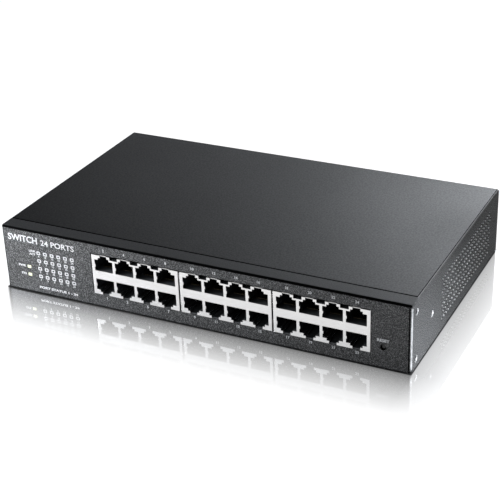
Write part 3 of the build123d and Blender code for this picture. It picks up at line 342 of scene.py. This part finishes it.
def glowing(name, colour, strength):
    """A surface that gives light, slightly uneven."""
    material, tree, shader, coords = new_material(name)
    cloud = noise(tree, coords, scale=900.0, detail=2.0)
    tree.links.new(colour_ramp(tree, cloud, dimmed(colour, 0.9), colour), shader.inputs["Base Color"])
    tree.links.new(colour_ramp(tree, cloud, dimmed(colour, 0.85), colour), shader.inputs["Emission Color"])
    shader.inputs["Emission Strength"].default_value = strength
    shader.inputs["Roughness"].default_value = 0.3
    return material


def clear_plastic(name, low, high, transmission):
    """Frosted clear moulding."""
    material, tree, shader, coords = new_material(name)
    cloud = noise(tree, coords, scale=700.0, detail=3.0)
    tree.links.new(colour_ramp(tree, cloud, low, high), shader.inputs["Base Color"])
    tree.links.new(value_ramp(tree, cloud, 0.22, 0.36), shader.inputs["Roughness"])
    shader.inputs["Transmission Weight"].default_value = transmission
    shader.inputs["IOR"].default_value = 1.49
    bump(tree, shader, cloud, strength=0.1, distance=0.03)
    return material


def wire_insulation(name, colour, stripe=None):
    """Extruded insulation, with a second colour running along it if given."""
    material, tree, shader, coords = new_material(name)
    drift = noise(tree, coords, scale=300.0, detail=3.0)
    base = colour_ramp(tree, drift, dimmed(colour, 0.8), colour)
    if stripe:
        bands = tree.nodes.new("ShaderNodeTexWave")
        bands.inputs["Scale"].default_value = 260.0
        bands.inputs["Distortion"].default_value = 0.4
        tree.links.new(coords, bands.inputs["Vector"])
        base = mix_colour(tree, value_ramp(tree, bands.outputs["Fac"], 0, 1, 0.55, 0.6), base, stripe)
    tree.links.new(base, shader.inputs["Base Color"])
    tree.links.new(value_ramp(tree, drift, 0.35, 0.5), shader.inputs["Roughness"])
    bump(tree, shader, drift, strength=0.1, distance=0.04)
    return material


# ---------------------------------------------------------------- materials
# case paint: bends worn bare and lightened as a painted highlight, and the bend over the face plate painted
# dark as shade
case_paint = powder_coat("case_paint", grey(0.014, -0.03), grey(0.019, -0.03), speck=grey(0.19), grain=2000.0,
                         rough=(0.40, 0.50), shade=clear_of_top_bend, edge=0.85, wall_specular=0.02)
lid_paint = powder_coat("lid_paint", grey(0.016, -0.03), grey(0.018, -0.03), speck=grey(0.10), grain=1300.0,
                        rough=(0.36, 0.42), shade=clear_of_lid_seam, strength=0.22, shimmer=0.28)
# face plate: rims painted dark as shade, and the lower part painted darker as shade by fewer specks
panel_paint = powder_coat("panel_paint", grey(0.013, -0.02), grey(0.016, -0.02), speck=grey(0.33),
                          grain=2300.0, rough=(0.42, 0.58), shade=clear_of_plate_rim, strength=0.55,
                          wall_specular=0.38, shaded_foot_specks=0.70)
# thread steel painted darker deeper in the ear holes as shade
thread_steel = plain_metal("thread_steel", grey(0.10), grey(0.20), rough=0.50, grain=2500.0,
                           shaded_depth=(HALF_WIDTH - 1.1, HALF_WIDTH - 0.5))
tin = plain_metal("shield_tin", grey(0.70, 0.01), grey(0.78, 0.01), rough=0.32, grain=300.0,
                  stretch=(1, 1, 9))
zinc = plain_metal("zinc_plate", grey(0.50), grey(0.72), rough=0.28, grain=1500.0)
bright_steel = plain_metal("bright_steel", grey(0.62), grey(0.82), rough=0.22, grain=2500.0)
nickel = plain_metal("pin_nickel", (0.60, 0.57, 0.48), (0.78, 0.74, 0.64), rough=0.25, grain=900.0,
                     stretch=(1, 6, 1))
# dark gold: kept far darker than real gold, as painted shade deep inside the ports
shaded_gold = plain_metal("contact_gold", (0.10, 0.08, 0.05), (0.17, 0.14, 0.09), rough=0.30, grain=2500.0)
aluminium = plain_metal("sink_aluminium", grey(0.48), grey(0.62), rough=0.4, grain=900.0, stretch=(1, 8, 1))
can_metal = plain_metal("can_aluminium", grey(0.60), grey(0.76), rough=0.3, grain=1200.0, stretch=(1, 1, 6))
ferrite = moulded("ferrite", grey(0.012), grey(0.022), rough=(0.5, 0.7), grain=900.0, strength=0.4)
# dark grey housing plastic, lighter than black as painted light inside the ports
jack_plastic = moulded("jack_plastic", grey(0.060, -0.05), grey(0.080, -0.05), rough=(0.30, 0.42))
inlet_plastic = moulded("inlet_plastic", grey(0.010), grey(0.016), rough=(0.3, 0.5))
chip_plastic = moulded("chip_plastic", grey(0.013), grey(0.022), rough=(0.45, 0.65), grain=2600.0)
plunger_plastic = moulded("plunger_plastic", grey(0.10), grey(0.14), rough=(0.35, 0.5))
switch_plastic = moulded("switch_plastic", grey(0.015), grey(0.025))
header_plastic = moulded("header_plastic", (0.62, 0.58, 0.47), (0.72, 0.68, 0.56),
                         rough=(0.35, 0.5), grain=900.0)
film_box = moulded("film_box", (0.60, 0.42, 0.04), (0.70, 0.50, 0.06), rough=(0.25, 0.4), grain=700.0)
tape = moulded("tape_yellow", (0.66, 0.46, 0.03), (0.78, 0.56, 0.05), rough=(0.2, 0.35), grain=120.0)
ceramic = moulded("small_parts", (0.20, 0.13, 0.08), (0.42, 0.34, 0.26), rough=(0.3, 0.5), grain=900.0)
sleeve_plastic = moulded("sleeve_plastic", grey(0.42), grey(0.52), rough=(0.25, 0.4))
capacitor_sleeve = moulded("capacitor_sleeve", (0.008, 0.012, 0.035), (0.012, 0.018, 0.05),
                           rough=(0.2, 0.32), grain=500.0)
insulation_film = moulded("insulation_film", grey(0.60), grey(0.68), rough=(0.3, 0.45), grain=300.0)
copper = plain_metal("enamelled_copper", (0.45, 0.13, 0.04), (0.65, 0.23, 0.08), rough=0.25, grain=1400.0,
                     stretch=(1, 1, 14), strength=0.5)
green_board = circuit_board("main_board", (0.008, 0.085, 0.035), (0.02, 0.16, 0.06), scale=120.0)
tan_board = circuit_board("power_board", (0.30, 0.19, 0.06), (0.40, 0.27, 0.10), scale=60.0)
lamp_clear = clear_plastic("lamp_clear", grey(0.05), grey(0.08), transmission=0.25)
fuse_glass = clear_plastic("fuse_glass", grey(0.80), grey(0.90), transmission=0.9)
led_yellow = clear_plastic("led_body", (0.70, 0.70, 0.45), (0.80, 0.80, 0.55), transmission=0.2)
lamp_lit = glowing("lamp_lit", (0.80, 0.82, 0.58), strength=0.62)
black_wire = wire_insulation("wire_black", grey(0.02))
red_wire = wire_insulation("wire_red", (0.38, 0.02, 0.015))
earth_insulation = wire_insulation("wire_earth", (0.10, 0.32, 0.04), stripe=(0.75, 0.65, 0.05))
white_print = moulded("white_print", grey(0.74), grey(0.84), rough=(0.45, 0.65), grain=5000.0, strength=0.1)

NODE_MATERIALS = {
    "chassis_base": case_paint, "top_cover": lid_paint, "front_panel": panel_paint,
    "cover_screws": zinc, "inlet_screws": zinc, "earth_screw": bright_steel, "earth_nut": zinc,
    "light_pipes": lamp_clear, "led_board": green_board, "status_leds": led_yellow,
    "reset_switch": switch_plastic, "reset_button": plunger_plastic,
    "main_board": green_board, "main_board_standoffs": zinc, "main_board_screws": zinc,
    "magnetics": chip_plastic, "phy_chips": chip_plastic, "phy_heat_sinks": aluminium,
    "switch_chip": chip_plastic, "switch_heat_sink": aluminium, "small_outline_chips": chip_plastic,
    "crystals": can_metal, "board_capacitors": can_metal, "board_inductors": ferrite,
    "chip_resistors": ceramic, "power_board": tan_board, "power_board_standoffs": zinc,
    "power_board_screws": zinc, "insulation_sheet": insulation_film, "line_fuse": fuse_glass,
    "x_capacitor": film_box, "choke_core": ferrite, "choke_windings": copper,
    "rectifier_bridge": chip_plastic, "bulk_capacitor": capacitor_sleeve, "transformer_core": ferrite,
    "transformer_winding": tape, "power_heat_sinks": aluminium, "power_transistors": chip_plastic,
    "output_capacitors": capacitor_sleeve, "inlet_body": inlet_plastic, "inlet_pins": nickel,
    "wire_receptacles": sleeve_plastic, "ac_terminal": header_plastic, "ac_wires": black_wire,
    "earth_wire": earth_insulation, "dc_headers": header_plastic, "dc_harness": red_wire,
}
for number in (1, 2, 3):
    NODE_MATERIALS[f"jack_shield_{number}"] = tin
    NODE_MATERIALS[f"jack_housing_{number}"] = jack_plastic
    NODE_MATERIALS[f"jack_contacts_{number}"] = shaded_gold
for name, node in nodes.items():
    for material_slot in node.material_slots:
        material_slot.material = NODE_MATERIALS[name]


# ---------------------------------------------------------------- mesh helpers
CORNER_STEPS = 6
PRINT_T = 0.02
CAPITAL_SHARE = 0.72


def add_object(name, data):
    """A new object in the scene that shows a mesh, a curve, a light or a camera."""
    obj = bpy.data.objects.new(name, data)
    bpy.context.scene.collection.objects.link(obj)
    return obj


def mesh_object(name, fill, material):
    """A new mesh object from a function that fills a bmesh."""
    bm = bmesh.new()
    fill(bm)
    mesh = bpy.data.meshes.new(name)
    bm.to_mesh(mesh)
    bm.free()
    mesh.materials.append(material)
    return add_object(name, mesh)


def piece(name, fill, material, body="case"):
    """A new piece that rides on a body."""
    obj = mesh_object(name, fill, material)
    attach(obj, body)


def rounded_outline(x, z, width, height, radius):
    """Points of a rounded rectangle in the XZ plane, in mm."""
    points = []
    for corner, (sx, sz) in enumerate(((1, 1), (-1, 1), (-1, -1), (1, -1))):
        cx = x + sx * (width / 2 - radius)
        cz = z + sz * (height / 2 - radius)
        for step in range(CORNER_STEPS + 1):
            angle = math.pi / 2 * (corner + step / CORNER_STEPS)
            points.append((cx + radius * math.cos(angle), cz + radius * math.sin(angle)))
    return points


def add_ring(bm, outline, y):
    """The vertices of an outline at a depth in mm."""
    return [bm.verts.new((x * MM, y * MM, z * MM)) for x, z in outline]


def add_frame(bm, x, z, outer, inner, radius):
    """A flat outline printed on the face plate: the band between two rounded rectangles."""
    rings = []
    for (width, height), bend in ((outer, radius), (inner, radius * 0.6)):
        outline = rounded_outline(x, z, width, height, bend)
        rings += [add_ring(bm, outline, FRONT - PRINT_T), add_ring(bm, outline, FRONT)]
    outer_front, outer_back, inner_front, inner_back = rings
    count = len(outer_front)
    for i in range(count):
        j = (i + 1) % count
        bm.faces.new((outer_front[i], outer_front[j], inner_front[j], inner_front[i]))
        bm.faces.new((outer_back[j], outer_back[i], inner_back[i], inner_back[j]))
        bm.faces.new((outer_front[j], outer_front[i], outer_back[i], outer_back[j]))
        bm.faces.new((inner_front[i], inner_front[j], inner_back[j], inner_back[i]))


def join_rings(bm, rings):
    """Faces between each ring of vertices and the next."""
    for low, high in zip(rings, rings[1:]):
        for i in range(len(low)):
            j = (i + 1) % len(low)
            bm.faces.new((low[i], low[j], high[j], high[i]))


def add_crowned_pad(bm, x, z, size, radius, y_edge, y_top):
    """A rounded rectangle that swells towards -Y in its middle."""
    rings = []
    for share, lift in ((1.0, 0.0), (0.9, 0.6), (0.6, 0.92), (0.25, 1.0)):
        outline = rounded_outline(x, z, size[0] * share, size[1] * share, radius * share)
        rings.append(add_ring(bm, outline, y_edge + (y_top - y_edge) * lift))
    join_rings(bm, rings)
    bm.faces.new(rings[-1])
    bm.faces.new(list(reversed(rings[0])))


def add_text(bm, words, x, z, height, weight, align="CENTER", stretch=1.0):
    """Flat generic lettering on the front face, height of its capitals in mm."""
    curve = bpy.data.curves.new("words", "FONT")
    curve.body = words
    curve.size = height * MM / CAPITAL_SHARE
    curve.extrude = PRINT_T * MM / 2
    curve.offset = weight * MM
    curve.align_x = align
    curve.align_y = "CENTER"
    curve.resolution_u = 3
    holder = add_object("words", curve)
    bpy.context.view_layer.update()
    graph = bpy.context.evaluated_depsgraph_get()
    mesh = bpy.data.meshes.new_from_object(holder.evaluated_get(graph))
    place = Matrix.Translation((x * MM, (FRONT - PRINT_T / 2) * MM, z * MM))
    place = place @ Matrix.Rotation(math.pi / 2, 4, "X") @ Matrix.Diagonal((stretch, 1, 1, 1))
    mesh.transform(place)
    bm.from_mesh(mesh)
    bpy.data.objects.remove(holder)
    bpy.data.meshes.remove(mesh)
    bpy.data.curves.remove(curve)


# ---------------------------------------------------------------- printed marks, in mm
PORT_COLUMNS = 4
PORT_PITCH = 14.1
NUMBER_SHIFT = 0.4
UPPER_NUMBER_Z = 38.9
LOWER_NUMBER_Z = 6.9
LAMP_X = [-107.3 + 4.83 * column for column in range(6)]
LAMP_Z = [12.3 + 5.34 * row for row in range(4)]
LAMP_OUTLINE = (2.7, 2.4)
LAMP_WINDOW = (1.35, 1.05)
LAMP_NUMBER_DROP = 2.35
POWER_Z = 17.7
SYSTEM_Z = 12.3
STATUS_X = -115.2
STATUS_LABEL_X = -117.9
LINK_LABEL_X = -111.8


def port_numbers(bm):
    """The number of each port, even above the upper row and odd below the lower row."""
    for block in (1, 2, 3):
        low, high = corners(f"jack_shield_{block}")
        middle = (low[0] + high[0]) / 2
        for column in range(PORT_COLUMNS):
            x = middle + (column - (PORT_COLUMNS - 1) / 2) * PORT_PITCH + NUMBER_SHIFT
            odd = ((block - 1) * PORT_COLUMNS + column) * 2 + 1
            add_text(bm, str(odd + 1), x, UPPER_NUMBER_Z, height=1.7, weight=0.07)
            add_text(bm, str(odd), x, LOWER_NUMBER_Z, height=1.7, weight=0.07)


def lamp_marks(bm):
    """A printed outline around each port lamp, with its port's number under it."""
    for column, x in enumerate(LAMP_X):
        for row, z in enumerate(LAMP_Z):
            add_frame(bm, x, z, LAMP_OUTLINE, LAMP_WINDOW, 0.6)
            number = column * len(LAMP_Z) + row + 1
            add_text(bm, str(number), x, z - LAMP_NUMBER_DROP, height=1.35, weight=0.06)


def lamp_words(bm):
    """The words beside and under the lamps, and above the reset hole."""
    add_text(bm, "PWR", STATUS_LABEL_X, POWER_Z, height=1.5, weight=0.09, align="RIGHT", stretch=1.15)
    add_text(bm, "SYS", STATUS_LABEL_X, SYSTEM_Z, height=1.5, weight=0.09, align="RIGHT", stretch=1.15)
    add_text(bm, "LINK", LINK_LABEL_X, 29.0, height=1.35, weight=0.08, stretch=1.2)
    add_text(bm, "ACT", LINK_LABEL_X, 26.9, height=1.35, weight=0.08, stretch=1.2)
    add_text(bm, "PORT STATUS 1 - 24", -95.2, 4.6, height=1.5, weight=0.10, stretch=1.5)
    add_text(bm, "RESET", 117.0, 18.0, height=1.8, weight=0.10, stretch=1.1)


def title_words(bm):
    """The two generic words at the top left of the face plate."""
    add_text(bm, "SWITCH", -128.7, 36.3, height=4.3, weight=0.15, align="LEFT", stretch=0.96)
    add_text(bm, "24 PORTS", -105.0, 35.8, height=3.7, weight=0.10, align="LEFT", stretch=1.10)


def lit_lamps(bm):
    """The lit faces of the power and system lamps, just proud of the face plate."""
    for z in (SYSTEM_Z, POWER_Z):
        add_crowned_pad(bm, STATUS_X, z, (2.7, 2.0), 0.5, FRONT - 0.002, FRONT - 0.05)


# ---------------------------------------------------------------- rack-ear threads, in mm
THREAD_PITCH = 0.45
THREAD_END = 2.5
THREAD_ROOT_R = 1.64
THREAD_CREST_R = 1.50
COUNTERSINK = [(0.02, 2.08), (0.40, 1.70)]
THREAD_SIDES = 28


def thread_profile():
    """Depth and radius along a rack-ear hole, from its countersink inwards."""
    profile = list(COUNTERSINK)
    depth = THREAD_PITCH
    while depth < THREAD_END:
        for step, radius in ((0.0, THREAD_ROOT_R), (0.4, THREAD_CREST_R), (0.8, THREAD_ROOT_R)):
            profile.append((depth + step * THREAD_PITCH, radius))
        depth += THREAD_PITCH
    return profile


def ear_threads(bm):
    """Bright thread crests inside the tapped rack-ear holes, and their bare countersinks."""
    for mount in frame["record"]["mounts"]:
        if not mount["name"].startswith("rack_ear_hole"):
            continue
        side = mount["axis"][0]
        y, z = mount["pos_m"][1:]
        rings = []
        for depth, radius in thread_profile():
            x = side * (HALF_WIDTH - depth) * MM
            ring = []
            for step in range(THREAD_SIDES):
                angle = 2 * math.pi * step / THREAD_SIDES
                reach = radius * MM
                ring.append(bm.verts.new((x, y + reach * math.cos(angle), z + reach * math.sin(angle))))
            rings.append(ring)
        join_rings(bm, rings)


piece("port_numbers", port_numbers, white_print)
piece("lamp_marks", lamp_marks, white_print)
piece("lamp_words", lamp_words, white_print)
piece("title_words", title_words, white_print)
piece("lit_lamps", lit_lamps, lamp_lit)
piece("ear_threads", ear_threads, thread_steel)


# ---------------------------------------------------------------- floor and backdrop
# half the floor's side, and the ring around it, in metres
FLOOR_HALF = 4.0
BACKDROP_R = 3.9
BACKDROP_HEIGHT = 3.0
# how far the floor's mirror patch reaches forwards and to the right, in mm
FRONT_FADE = 42.0
SIDE_FADE = 32.0
# how far each edge of the patch leans to the right, for each millimetre forwards
CORNER_LEAN = 0.343
LEFT_LEAN = 0.80
BACK_LEAN = 0.268


def mirror_patch(tree, coords):
    """How much of a mirror the floor is: a patch before and beside the object that fades outwards."""
    x = axis_value(tree, coords, "X")
    y = axis_value(tree, coords, "Y")
    beside = math_node(tree, "SUBTRACT", x, HALF_WIDTH * MM)
    before = math_node(tree, "SUBTRACT", math_node(tree, "MULTIPLY", y, -1.0), HALF_DEPTH * MM)
    ahead = math_node(tree, "MAXIMUM", before, 0.0)
    inside = math_node(tree, "SUBTRACT", HALF_DEPTH * MM, y)
    front_fade = value_ramp(tree, before, 1.0, 0.0, 0.0, FRONT_FADE * MM)
    side_fade = value_ramp(tree, beside, 1.0, 0.0, 0.0, SIDE_FADE * MM)
    past_corner = math_node(tree, "SUBTRACT", beside, product(tree, ahead, CORNER_LEAN))
    before_front = value_ramp(tree, past_corner, 1.0, 0.66, -0.4 * MM, 0.4 * MM)
    right_share = along(tree, coords, "X", -120.0, 50.0, 0.97, 0.82)
    past_left = math_node(tree, "SUBTRACT", x, product(tree, ahead, LEFT_LEAN))
    left_edge = value_ramp(tree, past_left, 0.0, 1.0, (-HALF_WIDTH - 1.0) * MM, (-HALF_WIDTH + 1.0) * MM)
    past_back = math_node(tree, "SUBTRACT", beside, product(tree, inside, BACK_LEAN))
    back_edge = value_ramp(tree, past_back, 1.0, 0.0, -1.0 * MM, 1.0 * MM)
    rear_edge = value_ramp(tree, inside, 0.0, 1.0, 0.0, 2.0 * MM)
    return product(tree, front_fade, side_fade, before_front, right_share, left_edge, back_edge, rear_edge)


def outside_case(tree, coords):
    """0 on the floor under the case, where no light gets, and in a thin painted contact shadow just around
    its foot, and 1 further out.
    """
    out_x = math_node(tree, "SUBTRACT", axis_size(tree, coords, "X"), HALF_WIDTH * MM)
    out_y = math_node(tree, "SUBTRACT", axis_size(tree, coords, "Y"), HALF_DEPTH * MM)
    return value_ramp(tree, math_node(tree, "MAXIMUM", out_x, out_y), 0.0, 1.0, 0.1 * MM, 0.5 * MM)


def floor_material():
    """Pale, faintly uneven studio surface, polished where the object stands."""
    material, tree, shader, coords = new_material("studio_floor")
    cloud = noise(tree, coords, scale=2.5, detail=3.0)
    tree.links.new(colour_ramp(tree, cloud, grey(0.12), grey(0.14), 0.2, 0.8), shader.inputs["Base Color"])
    glow = colour_ramp(tree, cloud, grey(0.98), grey(1.0), 0.2, 0.8)
    # the floor's glow fades out just around the case's foot: a painted contact shadow
    lit = mix_colour(tree, outside_case(tree, coords), grey(0.0), glow)
    tree.links.new(lit, shader.inputs["Emission Color"])
    shader.inputs["Emission Strength"].default_value = STUDIO_GLOW
    mirror = tree.nodes.new("ShaderNodeBsdfGlossy")
    mirror.inputs["Roughness"].default_value = 0.04
    mix = tree.nodes.new("ShaderNodeMixShader")
    tree.links.new(mirror_patch(tree, coords), mix.inputs[0])
    tree.links.new(shader.outputs[0], mix.inputs[1])
    tree.links.new(mirror.outputs[0], mix.inputs[2])
    tree.links.new(mix.outputs[0], tree.nodes["Material Output"].inputs["Surface"])
    return material


def add_floor():
    """The floor, a hair below the object's foot. It throws no diffuse light on the object."""
    def fill(bm):
        bmesh.ops.create_grid(bm, x_segments=8, y_segments=8, size=FLOOR_HALF)

    floor = mesh_object("floor", fill, floor_material())
    floor.location.z = -0.05 * MM
    floor.visible_diffuse = False


def add_backdrop():
    """A pale ring around the floor, seen by the camera only, so that it adds nothing to the light."""
    def fill(bm):
        bmesh.ops.create_cone(bm, segments=96, radius1=BACKDROP_R, radius2=BACKDROP_R, depth=BACKDROP_HEIGHT)

    backdrop = mesh_object("backdrop", fill, glowing("studio_backdrop", grey(1.0), STUDIO_GLOW))
    backdrop.location.z = BACKDROP_HEIGHT / 2
    backdrop.visible_diffuse = False
    backdrop.visible_glossy = False
    backdrop.visible_transmission = False
    backdrop.visible_shadow = False


# ---------------------------------------------------------------- lights and camera
# x in metres and power in watts of the panels behind the object, which its lid reflects
BACK_WALL = ((-0.80, 0.11), (-0.60, 0.13), (-0.40, 0.22), (-0.20, 0.70), (0.0, 2.0))
WORLD_STRENGTH = 0.02
CAMERA_LENS = 95.0832
CAMERA_SENSOR = 36
CAMERA_YAW = -0.46944
CAMERA_PITCH = 0.47341
CAMERA_ROLL = -0.0391
# where the middle of the front's foot lies from the camera: right, down and ahead, in mm
FRONT_FOOT_SEEN = (-31.881, 45.607, 776.570)


def area_light(name, place, target, size, power):
    """Rectangular soft light aimed at a point. Places and sizes are in metres."""
    data = bpy.data.lights.new(name, "AREA")
    data.shape = "RECTANGLE"
    data.size, data.size_y = size
    data.energy = power
    data.color = COOL
    light = add_object(name, data)
    light.location = place
    direction = Vector(target) - Vector(place)
    light.rotation_euler = direction.to_track_quat("-Z", "Y").to_euler()
    light.visible_camera = False
    return light


def keep_light_off(light, node):
    """Leave one CAD node out of what a light falls on."""
    receivers = bpy.data.collections.new(f"{light.name}_receivers")
    receivers.objects.link(nodes[node])
    receivers.collection_objects[0].light_linking.link_state = "EXCLUDE"
    light.light_linking.receiver_collection = receivers


def add_lights():
    """Panels behind for the lid and its edge, two boxes for the face plate, and two for the right wall."""
    wall = HALF_WIDTH * MM
    for number, (x, power) in enumerate(BACK_WALL, 1):
        area_light(f"back_wall_{number}", place=(x, 0.95, 0.50), target=(x, 0.0, 0.28),
                   size=(0.20, 0.40), power=power)
    area_light("lid_edge", place=(0.35, 0.95, 0.70), target=(0.13, 0.0, 0.04),
               size=(0.30, 0.30), power=2.7)
    area_light("front_box", place=(-0.33, -0.75, 0.42), target=(0.0, -0.08, 0.02),
               size=(0.5, 0.45), power=0.62)
    front_left = area_light("front_left", place=(-0.38, -0.22, 0.11), target=(-0.10, -0.08, 0.02),
                            size=(0.14, 0.12), power=2.95)
    keep_light_off(front_left, "top_cover")
    area_light("side_key", place=(0.213, -0.074, 0.022), target=(wall, -0.066, 0.018),
               size=(0.03, 0.02), power=0.10)
    area_light("side_low", place=(0.1985, -0.070, 0.003), target=(wall, -0.070, 0.006),
               size=(0.02, 0.004), power=0.075)


def add_world():
    """A faint even light from all round."""
    world = bpy.data.worlds.new("studio")
    bpy.context.scene.world = world
    world.use_nodes = True
    background = world.node_tree.nodes["Background"]
    background.inputs["Color"].default_value = (1, 1, 1, 1)
    background.inputs["Strength"].default_value = WORLD_STRENGTH


def add_camera():
    """Camera at the viewing angle, from its yaw, pitch and roll and where it sees the foot of the front."""
    turn = Matrix.Rotation(CAMERA_YAW, 3, "Z")
    swap = Matrix(((1, 0, 0), (0, 0, -1), (0, 1, 0)))
    tilt = Matrix.Rotation(CAMERA_PITCH, 3, "X")
    bank = Matrix.Rotation(CAMERA_ROLL, 3, "Z")
    rotation = bank @ tilt @ swap @ turn
    place = Vector((0, FRONT, 0)) - rotation.transposed() @ Vector(FRONT_FOOT_SEEN)
    facing = rotation.transposed() @ Matrix.Diagonal((1, -1, -1))
    data = bpy.data.cameras.new("camera")
    data.lens = CAMERA_LENS
    data.sensor_width = CAMERA_SENSOR
    data.clip_start = 0.01
    data.clip_end = 50
    camera = add_object("camera", data)
    camera.matrix_world = Matrix.Translation(place * MM) @ facing.to_4x4()
    bpy.context.scene.camera = camera


add_floor()
add_backdrop()
add_world()
add_lights()
add_camera()
bpy.context.scene.view_settings.view_transform = "Standard"
